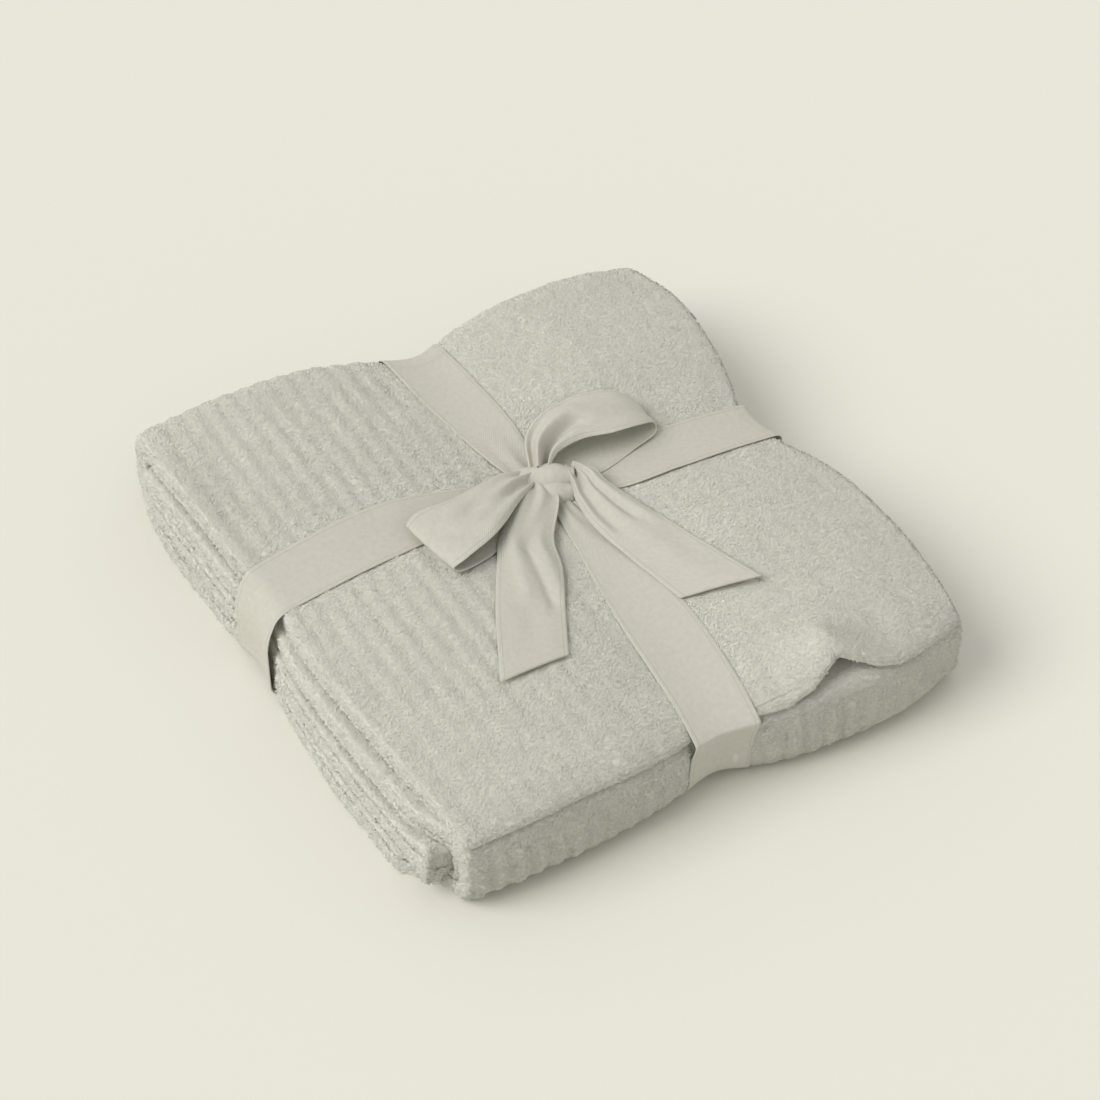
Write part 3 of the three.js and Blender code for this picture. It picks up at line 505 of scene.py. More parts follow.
def settle(x, y, z, lifted=0):
    """The settled place of points of the plain pile: drawn in by a share across and along, pressed
    down by a share, and lifted below over the bands, with the seam under the top panel raised."""
    press = press_at(x, y)
    lift = across("lift", x) + along("lift", y)
    draw_x = np.where(x < 0, along("draw_left", y), along("draw_right", y))
    draw_y = np.where(y < 0, across("draw_front", x), across("draw_back", x))
    over_seam = np.maximum(0, (PILE_HEIGHT - z) / (PILE_HEIGHT - SEAM_Z))
    seam_share = np.where(z < SEAM_Z, z / SEAM_Z, over_seam)
    raised = z + lifted + along("seam_rise", y) * seam_share
    height = raised * (1 - press) + lift * (1 - z / PILE_HEIGHT)
    push = smooth_between(column(UPWARDS, "z"), column(UPWARDS, "push"), z)
    front = y * (1 - draw_y) - push * along("front_share", y)
    return np.stack((x * (1 - draw_x) - MIDDLE_X, front, height), axis=-1)


def hump(distance):
    """1 at the middle and 0 from the reach on, as half a cosine wave."""
    inside = np.abs(distance) < 1
    return np.where(inside, 0.5 + 0.5 * np.cos(np.pi * distance), 0)


def ease(value, low, high):
    """0 below low, 1 above high and smooth between."""
    t = np.clip((value - low) / (high - low), 0, 1)
    return t * t * (3 - 2 * t)


def unit(vectors):
    """Vectors divided by their lengths."""
    return vectors / np.maximum(np.linalg.norm(vectors, axis=-1, keepdims=True), TINY)


def lumps(points, size, seed):
    """Smooth random heights from -1 to 1 over points: random values on a lattice of the given
    size, blended between its corners with an eased share."""
    random = np.random.default_rng(seed)
    table = random.uniform(-1, 1, (LATTICE, LATTICE, LATTICE))
    scaled = points / size
    low = np.floor(scaled).astype(int)
    share = scaled - low
    share = share * share * (3 - 2 * share)
    total = np.zeros(points.shape[:-1])
    for corner in np.ndindex(2, 2, 2):
        cell = (low + corner) % LATTICE
        weight = np.prod(np.where(corner, share, 1 - share), axis=-1)
        total += weight * table[cell[..., 0], cell[..., 1], cell[..., 2]]
    return total


def top_panel_lift(name, x, y):
    """How far the top panel is raised or drawn back at places: the sum over its table's rows of
    the named column * (1 - x distance / reach) * hump(y distance / reach)."""
    return sum(
        getattr(lift, name)
        * np.maximum(0, 1 - np.abs((x - lift.x) / lift.reach_x))
        * hump((y - lift.y) / lift.reach_y)
        for lift in TOP_PANEL_LIFTS
    )


def grid_faces(rows, columns, closed_rows=False, closed_columns=False):
    """Four-sided faces between neighbouring rows and columns of a grid of points."""
    last_row = rows if closed_rows else rows - 1
    last_column = columns if closed_columns else columns - 1
    i, j = np.meshgrid(np.arange(last_row), np.arange(last_column), indexing="ij")
    next_i = (i + 1) % rows
    next_j = (j + 1) % columns
    corners = (i * columns + j, next_i * columns + j, next_i * columns + next_j, i * columns + next_j)
    return np.stack([c.ravel() for c in corners], axis=-1)


def end_caps(rows, columns):
    """The two faces that close the first and the last row of a grid that runs round."""
    return (np.arange(columns), np.arange(columns)[::-1] + (rows - 1) * columns)


def add_mesh(name, points, faces, uvs=None, ends=()):
    """A mesh object of points in millimetres, with faces of four or three corners and, where they
    are given, closing faces with many corners; uvs are one pair for each point."""
    mesh = bpy.data.meshes.new(name)
    flat = points.reshape(-1, 3) * MM
    size = faces.shape[1]
    loops = np.concatenate([faces.ravel(), *[np.asarray(end) for end in ends]]).astype(np.int32)
    counts = np.concatenate([np.full(len(faces), size), [len(end) for end in ends]]).astype(np.int32)
    starts = np.concatenate([[0], np.cumsum(counts)[:-1]]).astype(np.int32)
    mesh.vertices.add(len(flat))
    mesh.vertices.foreach_set("co", flat.astype(np.float32).ravel())
    mesh.loops.add(len(loops))
    mesh.loops.foreach_set("vertex_index", loops)
    mesh.polygons.add(len(counts))
    mesh.polygons.foreach_set("loop_start", starts)
    mesh.polygons.foreach_set("loop_total", counts)
    mesh.polygons.foreach_set("use_smooth", np.ones(len(counts), bool))
    if uvs is not None:
        layer = mesh.uv_layers.new(name="UVMap")
        layer.data.foreach_set("uv", uvs.reshape(-1, 2)[loops].astype(np.float32).ravel())
    mesh.update(calc_edges=True)
    mesh.validate()
    piece = bpy.data.objects.new(name, mesh)
    bpy.context.scene.collection.objects.link(piece)
    return piece


def bundle_path(step):
    """Stations along the bundle as arrays: panel number, the middle's y and z, and the direction
    that faces outwards. It runs from the free end at the top front over the back, along the
    bottom, up the front, and back and forth once more inside."""
    stations = []

    def straight(panel, y0, z0, y1, z1, outward, spacing):
        """Adds evenly spaced stations on a straight piece, without its last point."""
        steps = max(2, round(math.hypot(y1 - y0, z1 - z0) / spacing))
        for share in np.linspace(0, 1, steps + 1)[:-1]:
            y = y0 + (y1 - y0) * share
            z = z0 + (z1 - z0) * share
            stations.append((PANELS.index(panel), y, z, *outward))

    def turn(panel, y, z, radius, from_degrees, to_degrees, steps):
        """Adds stations on an arc round a middle, without its last point."""
        for angle in np.radians(np.linspace(from_degrees, to_degrees, steps + 1)[:-1]):
            outward = (math.cos(angle), math.sin(angle))
            middle = (y + radius * outward[0], z + radius * outward[1])
            stations.append((PANELS.index(panel), *middle, *outward))

    back_y = BACK_FACE_Y - HALF_BUNDLE - BACK_FOLD_RADIUS
    back_low = BOTTOM_Z + BACK_FOLD_RADIUS
    back_high = TOP_Z - BACK_FOLD_RADIUS
    front_y = FRONT_FACE_Y + HALF_BUNDLE + FRONT_FOLD_RADIUS
    front_low = BOTTOM_Z + FRONT_FOLD_RADIUS
    front_high = INNER_HIGH_Z - FRONT_FOLD_RADIUS
    inner_radius = PANEL_PITCH / 2
    inner_y = BACK_FACE_Y - BUNDLE_THICKNESS - INNER_BACK_GAP - HALF_BUNDLE - inner_radius
    free_y = TOP_FREE_END_Y + HALF_BUNDLE + FREE_END_RADIUS
    free_z = TOP_Z - FREE_END_RADIUS
    wide = HIDDEN_SPACING * step
    turn("top", free_y, free_z, FREE_END_RADIUS, AT_FRONT, AT_TOP, TURN_STEPS)
    straight("top", free_y, TOP_Z, back_y, TOP_Z, (0, 1), step)
    turn("back", back_y, back_high, BACK_FOLD_RADIUS, AT_TOP, AT_BACK, TURN_STEPS)
    outer_back = back_y + BACK_FOLD_RADIUS
    straight("back", outer_back, back_high, outer_back, back_low, (1, 0), step)
    turn("back", back_y, back_low, BACK_FOLD_RADIUS, AT_BACK, AT_BOTTOM, LOW_TURN_STEPS)
    straight("bottom", back_y, BOTTOM_Z, front_y, BOTTOM_Z, (0, -1), wide)
    turn("front", front_y, front_low, FRONT_FOLD_RADIUS, AT_BOTTOM, -AT_FRONT, LOW_TURN_STEPS)
    outer_front = front_y - FRONT_FOLD_RADIUS
    straight("front", outer_front, front_low, outer_front, front_high, (-1, 0), step)
    turn("front", front_y, front_high, FRONT_FOLD_RADIUS, AT_FRONT, AT_TOP, TURN_STEPS)
    straight("inner_high", front_y, INNER_HIGH_Z, inner_y, INNER_HIGH_Z, (0, 1), wide)
    middle_z = (INNER_HIGH_Z + INNER_LOW_Z) / 2
    turn("inner_back", inner_y, middle_z, inner_radius, AT_TOP, AT_BOTTOM, INNER_TURN_STEPS)
    straight("inner_low", inner_y, INNER_LOW_Z, INNER_FREE_END_Y, INNER_LOW_Z, (0, -1), wide)
    for angle in np.radians(np.linspace(AT_BACK, AT_TOP, END_STEPS + 1)):
        end_y = INNER_FREE_END_Y - END_ROUNDING * math.sin(angle)
        stations.append((PANELS.index("inner_low"), end_y, INNER_LOW_Z, 0, -1))
    return np.array(stations, float)


Section = namedtuple("Section", "left_share shift h part")
# The parts of the section's outline, in order
OUTER_FACE, LEFT_ROLL, MIDDLE_UNDER, RIGHT_GROOVE, INNER_TOP, INNER_EDGE = range(6)
INNER_UNDER, RIGHT_ROLL, MIDDLE_TOP, LEFT_GROOVE, OUTER_UNDER, CUT_EDGE = range(6, 12)


def bundle_section(step):
    """The bundle's cross-section as arrays: each point's share of the left side, its shift from
    there, its height from the bundle's middle, and the part of the outline it belongs to."""
    rows = []
    outer = CLOTH_THICKNESS + LAYER_GAP / 2
    inner = LAYER_GAP / 2
    bulge = CLOTH_THICKNESS * CUT_EDGE_BULGE

    def face(part, from_left, from_shift, to_left, to_shift, h, steps, crowd=0):
        """Adds points across the bundle, evenly or (with crowd) closer at the two ends."""
        for place in np.linspace(0, 1, steps + 1):
            share = place * (1 - crowd) + crowd * (0.5 - 0.5 * math.cos(math.pi * place))
            left_share = from_left + (to_left - from_left) * share
            rows.append((left_share, from_shift + (to_shift - from_shift) * share, h, part))

    def bend(part, left_share, shift, h, radius, from_degrees, to_degrees, steps, squareness=1):
        """Adds points on an arc, whose cosine and sine are raised to the squareness."""
        for angle in np.radians(np.linspace(from_degrees, to_degrees, steps + 1)[1:-1]):
            over = math.copysign(abs(math.cos(angle)) ** squareness, math.cos(angle))
            up = math.copysign(abs(math.sin(angle)) ** squareness, math.sin(angle))
            rows.append((left_share, shift + radius * over, h + radius * up, part))

    fine = round(PANEL_WIDTH / step)
    hidden = HIDDEN_FACE_STEPS
    under = HALF_BUNDLE - CLOTH_THICKNESS
    face(OUTER_FACE, 0, -OUTER_END_INSET, 1, outer, HALF_BUNDLE, fine)
    turned = AT_TOP + HALF_TURN
    square = LEFT_ROLL_SQUARENESS
    bend(LEFT_ROLL, 1, outer, HALF_BUNDLE - outer, outer, AT_TOP, turned, LEFT_ROLL_STEPS, square)
    face(MIDDLE_UNDER, 1, outer, 0, -outer, -CLOTH_THICKNESS / 2, hidden, 1)
    bend(RIGHT_GROOVE, 0, -outer, -HALF_BUNDLE + outer, inner, AT_TOP, AT_BOTTOM, GROOVE_STEPS)
    face(INNER_TOP, 0, -outer, 1, INNER_END_INSET, CLOTH_THICKNESS - HALF_BUNDLE, hidden, 1)
    for up in INNER_EDGE_LEVELS:
        shift = INNER_END_INSET - bulge * (1 - (2 * up - 1) ** 2) ** 0.5
        rows.append((1, shift, CLOTH_THICKNESS * (1 - up) - HALF_BUNDLE, INNER_EDGE))
    face(INNER_UNDER, 1, INNER_END_INSET, 0, -outer, -HALF_BUNDLE, hidden, 1)
    bend(RIGHT_ROLL, 0, -outer, -HALF_BUNDLE + outer, outer, AT_BOTTOM, AT_TOP, RIGHT_ROLL_STEPS)
    face(MIDDLE_TOP, 0, -outer, 1, outer, HALF_BUNDLE - LAYER_PITCH, hidden, 1)
    bend(LEFT_GROOVE, 1, outer, HALF_BUNDLE - outer, inner, turned, AT_TOP, GROOVE_STEPS)
    face(OUTER_UNDER, 1, outer, 0, -OUTER_END_INSET, under, hidden, 1)
    for up, out in OUTER_EDGE_LEVELS:
        rows.append((0, bulge * out - OUTER_END_INSET, under + CLOTH_THICKNESS * up, CUT_EDGE))
    return Section(*np.array(rows, float).T)


def panel_side(stations, side):
    """Each station's left or right side, from the table, with the corner notch at the front."""
    panel = stations[:, 0].astype(int)
    front = np.array([getattr(sides, side + "_front") for sides in PANEL_SIDES.values()])[panel]
    back = np.array([getattr(sides, side + "_back") for sides in PANEL_SIDES.values()])[panel]
    share = (stations[:, 1] - FRONT_FACE_Y) / (BACK_FACE_Y - FRONT_FACE_Y)
    own = front + (back - front) * share
    if side == "right":
        return own
    meets_front = np.isin(panel, [PANELS.index("bottom"), PANELS.index("inner_high")])
    away = ease(stations[:, 1], LEFT_NOTCH_FROM_Y, LEFT_NOTCH_TO_Y)
    notched = PANEL_SIDES["front"].left_front * (1 - away) + own * away
    return np.where(meets_front, notched, own)


def worn_share(worn, at):
    """What is left of the ribs where they are worn down."""
    return 1 - worn.share * ease(at, worn.start, worn.end)


def rib_share(panel, y, nz, x):
    """The share of the full rib that stands at a place: none below and inside, less on the
    right-hand half of the top, at the front's right end and under the bands."""
    on_top = panel == PANELS.index("top")
    on_front = panel == PANELS.index("front")
    shown = on_top | on_front | (panel == PANELS.index("back"))
    from_left = worn_share(WORN_TO_RIGHT, x) * worn_share(WORN_TO_FRONT, -y)
    worn = np.where(on_front, worn_share(WORN_FRONT_RIGHT, x), from_left)
    across_band = np.where(on_top, hump((y - BAND_ACROSS_Y) / BAND_PRESS_REACH), 0)
    under = np.maximum(across_band, hump((x - BAND_ALONG_X) / BAND_PRESS_REACH))
    upwards = ease(nz, 0, RIM_FADE)
    at_rim = np.where(on_front, 1 - upwards, np.where(on_top, upwards, 1))
    outside = ease(nz, UNDERSIDE_FROM, UNDERSIDE_TO)
    return shown * worn * outside * at_rim * (1 - BAND_PRESS_SHARE * under)


def inner_end_share(panel, x, y):
    """The share by which the lowest inner panel is thicker in the notch at the front left corner,
    and thinner on a quarter of a circle at its free end."""
    inner = panel == PANELS.index("inner_low")
    in_notch = 1 - ease(y, LEFT_NOTCH_FROM_Y, LEFT_NOTCH_TO_Y)
    lump = 1 + NOTCH_FILL * in_notch * ease(-x, -NOTCH_FROM_X, -NOTCH_FULL_X)
    past_end = np.clip((INNER_FREE_END_Y - y) / END_ROUNDING, 0, 1)
    rounded = np.maximum(np.sqrt(1 - past_end**2), THINNEST_END)
    return np.where(inner, lump * rounded, 1)


def surface_normals(points):
    """Unit normals of a grid of points that runs round, from the differences of its neighbours."""
    down = np.gradient(points, axis=0)
    over = np.roll(points, -1, axis=1) - np.roll(points, 1, axis=1)
    return unit(np.cross(down, over))


class ThrowSurface:
    """The folded throw as a grid of points: stations along the bundle by points of its section."""

    def __init__(self, cloth):
        """Each point is its station's middle + outwards * its height, settled, then moved along its
        normal by the ribs, height * (1 + cos(2 pi x / pitch)) / 2, and by the random heights."""
        self.stations = bundle_path(cloth.cell_along / MM)
        self.section = bundle_section(cloth.cell_across / MM)
        panel, middle_y, middle_z, out_y, out_z = (values[:, None] for values in self.stations.T)
        panel = panel.astype(int)
        part = self.section.part[None, :].astype(int)
        h = self.section.h[None, :]
        left = panel_side(self.stations, "left")[:, None]
        right = panel_side(self.stations, "right")[:, None]
        share = self.section.left_share[None, :]
        x = left * share + right * (1 - share) + self.section.shift[None, :]
        near_left = ease(left + SIDE_DEPTH - x, 0, SWELL_DEPTH)
        swell = np.where(part == MIDDLE_UNDER, -LAYER_SWELL, 0)
        swell = swell + np.where(part == INNER_TOP, LAYER_SWELL, 0)
        h = h * (1 + PANEL_SWELL * near_left) + swell * near_left
        h = h * inner_end_share(panel, x, middle_y)
        y = middle_y + out_y * h
        on_top = panel == PANELS.index("top")
        z = middle_z + out_z * h
        self.plain = np.stack((x, y, z), axis=-1)
        raised = on_top * top_panel_lift("height", x, middle_y)
        points = settle(x, y + on_top * top_panel_lift("back", x, middle_y), z, raised)
        self.normals = surface_normals(points)
        outer = part == OUTER_FACE
        faces_out = (panel <= PANELS.index("front")) & (panel != PANELS.index("bottom"))
        at_side = (x < left + SIDE_DEPTH) | (x > right - SIDE_DEPTH)
        at_front = (middle_y < TOP_FREE_END_Y + SIDE_DEPTH) & (out_y == 0)
        under_flap = (panel == PANELS.index("front")) & (middle_y > TOP_FREE_END_Y + SIDE_DEPTH)
        self.shown = (outer & faces_out & ~under_flap) | at_side | at_front
        self.shown = self.shown & (points[..., 2] > SHOWN_FROM_Z)
        wave = 0.5 + 0.5 * np.cos(2 * np.pi * (x - RIB_START_X) / (cloth.rib_pitch / MM))
        broken = RIB_MEAN + RIB_UNEVEN * lumps(points, *BROKEN_RIBS)
        front = np.where(panel == PANELS.index("front"), FRONT_RIB_SHARE, 1)
        ribs = cloth.rib_height / MM * front * rib_share(panel, middle_y, out_z, x) * wave * broken
        soft = cloth.lump_height / MM * lumps(points, *SOFT_LUMPS)
        soft += cloth.dimple_height / MM * lumps(points, *DIMPLES)
        rough = cloth.grain_height / MM * lumps(points, *GRAIN)
        relief = np.where(outer & faces_out, ribs, 0)
        relief += np.where(self.shown, soft + rough, 0)
        self.points = points + self.normals * relief[..., None]
        self.points[..., 2] = np.maximum(self.points[..., 2], 0)
        self.normals = unit(self.normals + surface_normals(self.points))

    def uvs(self):
        """A flat map in metres: along the bundle and across its section."""
        rows = np.arange(self.points.shape[0])[:, None] * FLAT_ROW
        columns = np.arange(self.points.shape[1])[None, :] * FLAT_COLUMN
        return np.stack(np.broadcast_arrays(columns, rows), axis=-1)


def strip_rows(edges, steps):
    """Both edges of a strip at evenly spaced places, each on a smooth curve through the table."""
    places = np.arange(len(edges), dtype=float)
    at = np.linspace(0, len(edges) - 1, steps)
    names = Edges._fields
    return {name: smooth_between(places, column(edges, name), at) for name in names}


def crease_relief(name, over, ahead):
    """The height of a tape's creases at places over and ahead of it when flat: for each crease
    height * exp(-(distance to its line / width)^2)."""
    total = np.zeros(np.broadcast(over, ahead).shape)
    for crease in CREASES[name]:
        run = np.array([crease.across_to - crease.across_from, crease.along_to - crease.along_from])
        reach = run @ run
        share = (over - crease.across_from) * run[0] + (ahead - crease.along_from) * run[1]
        share = np.clip(share / reach, 0, 1)
        off_x = over - crease.across_from - share * run[0]
        off_y = ahead - crease.along_from - share * run[1]
        near = np.exp(-(off_x**2 + (off_y * CREASE_STRETCH) ** 2) / crease.width**2)
        total += crease.height * near
    return total


def tape_uvs(shares, travelled):
    """The flat map of a tape's rings in metres: across it there and back, and along it."""
    one_way = np.concatenate((shares, [1], shares[::-1], [0])) * TAPE_WIDTH
    return np.stack(np.broadcast_arrays(one_way[None, :], travelled[:, None]), axis=-1) * MM


def pleat_wave(shares, pleats):
    """Pleats across a strip: cos(2 pi pleats share) * sin(pi share) ^ fade, 0 at both edges."""
    return np.cos(2 * np.pi * pleats * shares) * np.sin(np.pi * shares) ** PLEAT_FADE


def strip_points(name, first, second, bow, gather, pleats, thickness, columns, bend_seed):
    """A strip between two edge curves as rings of points: across it runs an arch of the height
    bow, pleats of the height gather, its creases and a slight unevenness, on both faces, joined
    by rounded edges."""
    shares = np.linspace(0, 1, columns)
    middle = (first + second) / 2
    ahead = np.gradient(middle, axis=0)
    over = second - first
    normal = unit(np.cross(ahead, over))
    flat = first[:, None, :] + over[:, None, :] * shares[None, :, None]
    arch = bow[:, None] * np.sin(np.pi * shares)[None, :]
    fold = pleat_wave(shares, pleats)
    uneven = WIDE_BEND * lumps(flat, WIDE_BEND_SIZE, bend_seed)
    uneven += FINE_BEND * lumps(flat, FINE_BEND_SIZE, bend_seed + 1)
    lengths = np.linalg.norm(np.diff(middle, axis=0), axis=1)
    travelled = np.concatenate(([0], np.cumsum(lengths)))
    creases = crease_relief(name, shares[None, :] * TAPE_WIDTH, travelled[:, None])
    out = arch + gather[:, None] * fold[None, :] + creases + uneven
    edge_way = unit(over)
    half = thickness / 2
    upper = flat + normal[:, None, :] * (out + half)[..., None]
    lower = flat + normal[:, None, :] * (out - half)[..., None]
    first_side = flat[:, :1] + normal[:, None, :] * out[:, :1, None] - edge_way[:, None, :] * half
    second_side = flat[:, -1:] + normal[:, None, :] * out[:, -1:, None] + edge_way[:, None, :] * half
    rings = np.concatenate((upper, second_side, lower[:, ::-1], first_side), axis=1)
    return rings, tape_uvs(shares, travelled), travelled[-1]


def over_top(points):
    """Points (x, y, height over the settled top) in the part's place."""
    x, y, height = points[..., 0], points[..., 1], points[..., 2]
    z = PILE_HEIGHT * (1 - press_at(x, y)) + height
    return np.stack((x - MIDDLE_X, y, z), axis=-1)


def add_closed_strip(name, rings, uvs):
    """A mesh of a strip's rings over the settled top, closed at both ends."""
    rows, columns = rings.shape[:2]
    faces = grid_faces(rows, columns, closed_columns=True)
    return add_mesh(name, over_top(rings), faces, uvs, end_caps(rows, columns))


def add_strip(strip, tape):
    """A bow strip as its own piece, laid over the settled top."""
    rows = strip_rows(strip.edges, STRIP_STEPS * (len(strip.edges) - 1))
    first = np.stack((rows["ax"], rows["ay"], rows["ah"]), axis=-1)
    second = np.stack((rows["bx"], rows["by"], rows["bh"]), axis=-1)
    thickness = tape.thickness / MM
    shape = (rows["bow"], rows["gather"], strip.pleats)
    rings, uvs, length = strip_points(
        strip.name, first, second, *shape, thickness, STRIP_COLUMNS, strip.seed
    )
    return dress_tape(add_closed_strip(strip.name, rings, uvs))


def way_round(corners, spacing):
    """The closed way round the pile as points (a, z) with the direction that faces outwards. Each
    corner is rounded as (1 - t)^2 * start + 2 t (1 - t) * corner + t^2 * end."""
    points = []
    count = len(corners)
    for index, corner in enumerate(corners):
        here = np.array([corner.a, corner.z])
        before = np.array(corners[index - 1][:2])
        after = np.array(corners[(index + 1) % count][:2])
        start = here + (before - here) / np.linalg.norm(before - here) * corner.radius
        end = here + (after - here) / np.linalg.norm(after - here) * corner.radius
        share = np.linspace(0, 1, CORNER_POINTS)[:, None]
        points.extend((1 - share) ** 2 * start + 2 * share * (1 - share) * here + share**2 * end)
        next_radius = corners[(index + 1) % count].radius
        next_start = after + (here - after) / np.linalg.norm(here - after) * next_radius
        steps = max(2, round(np.linalg.norm(next_start - end) / spacing))
        share = np.linspace(0, 1, steps + 1)[1:-1, None]
        points.extend(end * (1 - share) + next_start * share)
    points = np.array(points)
    ahead = unit(np.roll(points, -1, axis=0) - np.roll(points, 1, axis=0))
    return points, np.stack((-ahead[:, 1], ahead[:, 0]), axis=-1)


def band_gather(distance):
    """The height of a band's pleats near the knot: height * hump(distance / reach) ^ sharpness."""
    return BAND_PLEAT_HEIGHT * hump(distance / BAND_PLEAT_REACH) ** BAND_PLEAT_SHARPNESS


def band_edge(band, side, at, z):
    """One of a band's edges at places of its way and heights: (1 - share) * edge under the pile +
    share * edge over the top, with the share z / height of the pile."""
    over = np.clip(z / PILE_HEIGHT, 0, 1)
    places = column(band.table, band.place)
    under = smooth_between(places, column(band.table, side + "_under"), at)
    top = smooth_between(places, column(band.table, side + "_top"), at)
    return under * (1 - over) + top * over


def add_band(band, tape):
    """A band round the pile as its own piece: a strip on its rounded way, which narrows and
    pleats towards the knot on top."""
    path, out = way_round(band.corners, BAND_SPACING)
    at, z = path[:, 0], path[:, 1]
    first = band_edge(band, band.first, at, z)
    second = band_edge(band, band.second, at, z)
    shares = np.linspace(0, 1, BAND_COLUMNS)
    side = second[:, None] * (1 - shares) + first[:, None] * shares
    near_knot = band_gather(at - band.knot_at) * (z > PILE_HEIGHT / 2)
    fold = pleat_wave(shares, BAND_PLEATS)
    flat = np.stack(np.broadcast_arrays(side, at[:, None], z[:, None]), axis=-1)
    uneven = BAND_BEND * lumps(flat, BAND_BEND_SIZE, band.seed) * (z[:, None] > BAND_BEND_FROM_Z)
    raised = near_knot[:, None] * (1 + fold[None, :]) / 2 + np.maximum(uneven, DEEPEST_BEND)
    thickness = tape.thickness / MM

    def layer(extra):
        """The settled points of a face of the band, raised above its way."""
        level = raised + extra
        a = at[:, None] + out[:, :1] * level
        height = z[:, None] + out[:, 1:] * level
        if band.runs_across:
            return settle(a, side, height)
        return settle(side, a, height)

    outer = layer(thickness)
    inner = layer(0)
    middle = layer(thickness / 2)
    edge_way = unit(middle[:, -1] - middle[:, 0])
    first_side = middle[:, :1] - edge_way[:, None] * thickness / 2
    second_side = middle[:, -1:] + edge_way[:, None] * thickness / 2
    rings = np.concatenate((inner, second_side, outer[:, ::-1], first_side), axis=1)
    centre = middle[:, BAND_COLUMNS // 2]
    steps = np.linalg.norm(np.roll(centre, -1, axis=0) - centre, axis=1)
    travelled = np.concatenate(([0], np.cumsum(steps)[:-1]))
    faces = grid_faces(*rings.shape[:2], closed_rows=True, closed_columns=True)
    piece = add_mesh(band.name, rings, faces, tape_uvs(shares, travelled))
    return dress_tape(piece)


def add_knot_turn(turn, tape):
    """One turn of the knot: a strip that passes over the crossing from the back to the front, with
    its middle domed and its two sides tucked down."""
    way = np.radians(np.linspace(KNOT_FROM, KNOT_TO, KNOT_STEPS))
    forward = turn.depth * np.cos(way)
    height = KNOT_FOOT + (turn.height - KNOT_FOOT) * np.maximum(np.sin(way), KNOT_LOWEST)
    axis = np.array([math.cos(KNOT_ANGLE), math.sin(KNOT_ANGLE)])
    side = np.array([-axis[1], axis[0]])
    middle = np.array([turn.x, turn.y]) + forward[:, None] * side
    first = np.column_stack((middle - axis * turn.half_length, height - KNOT_LEFT_TUCK))
    second = np.column_stack((middle + axis * turn.half_length, height - KNOT_RIGHT_TUCK))
    shape = (np.full(KNOT_STEPS, KNOT_BOW), np.full(KNOT_STEPS, KNOT_GATHER), KNOT_PLEATS)
    thickness = tape.thickness / MM
    rings, uvs, length = strip_points(
        turn.name, first, second, *shape, thickness, KNOT_COLUMNS, turn.seed
    )
    piece = add_closed_strip(turn.name, rings, uvs)
    return dress_tape(piece)


def dress_tape(piece):
    """The finish and place that every piece of the tape shares; the tie's solid is hidden."""
    piece.data.materials.append(tape_material())
    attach(piece, "root")
    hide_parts("tie")
    return piece


def new_material(name):
    """A material with nodes, its nodes and links, and its shader."""
    material = bpy.data.materials.new(name)
    material.use_nodes = True
    tree = material.node_tree
    return material, tree.nodes, tree.links, tree.nodes["Principled BSDF"]


def let_light_through(shader):
    """Soft plush: light spreads a little way under the surface."""
    shader.subsurface_method = "BURLEY"
    shader.inputs["Subsurface Weight"].default_value = LIGHT_SHARE_INSIDE
    shader.inputs["Subsurface Radius"].default_value = LIGHT_COLOURS_INSIDE
    shader.inputs["Subsurface Scale"].default_value = SPREAD_OF_LIGHT * MM


def add_noise(nodes, links, place, look):
    """A noise texture on the given coordinates."""
    noise = nodes.new("ShaderNodeTexNoise")
    noise.inputs["Scale"].default_value = look.scale
    noise.inputs["Detail"].default_value = look.detail
    links.new(place, noise.inputs["Vector"])
    return noise.outputs["Fac"]


def add_tones(nodes, links, value, sizes, dark_until=0, light_from=1):
    """A colour between the shade and the light colour of a cloth, by a value."""
    tone = nodes.new("ShaderNodeValToRGB")
    dark, light = tone.color_ramp.elements
    dark.position = dark_until
    dark.color = (*sizes.shade_colour, 1)
    light.position = light_from
    light.color = (*sizes.light_colour, 1)
    links.new(value, tone.inputs["Fac"])
    return tone.outputs["Color"]


def add_relief(nodes, links, value, look, shader):
    """Fine relief on a surface, by a value."""
    bump = nodes.new("ShaderNodeBump")
    bump.inputs["Strength"].default_value = look.strength
    bump.inputs["Distance"].default_value = look.distance
    links.new(value, bump.inputs["Height"])
    links.new(bump.outputs["Normal"], shader.inputs["Normal"])


def add_arithmetic(nodes, links, operation, value, *fixed):
    """A value after one arithmetic operation with up to two fixed numbers."""
    step = nodes.new("ShaderNodeMath")
    step.operation = operation
    links.new(value, step.inputs[0])
    for number, size in enumerate(fixed):
        step.inputs[number + 1].default_value = size
    return step


def add_shade(nodes, links, value, lowest, highest, full_at=1):
    """A share of the brightness that goes from one tone to another as a value goes up."""
    shade = nodes.new("ShaderNodeMapRange")
    shade.inputs["From Max"].default_value = full_at
    shade.inputs["To Min"].default_value = lowest
    shade.inputs["To Max"].default_value = highest
    links.new(value, shade.inputs["Value"])
    return shade.outputs["Result"]


def colour_surface(nodes, links, colour, share, shader):
    """Gives a surface a colour times a share."""
    scaled = nodes.new("ShaderNodeVectorMath")
    scaled.operation = "SCALE"
    links.new(colour, scaled.inputs[0])
    links.new(share, scaled.inputs["Scale"])
    links.new(scaled.outputs["Vector"], shader.inputs["Base Color"])


def flat_map(nodes):
    """A mesh's own flat map as coordinates."""
    uv = nodes.new("ShaderNodeUVMap")
    uv.uv_map = "UVMap"
    return uv.outputs["UV"]


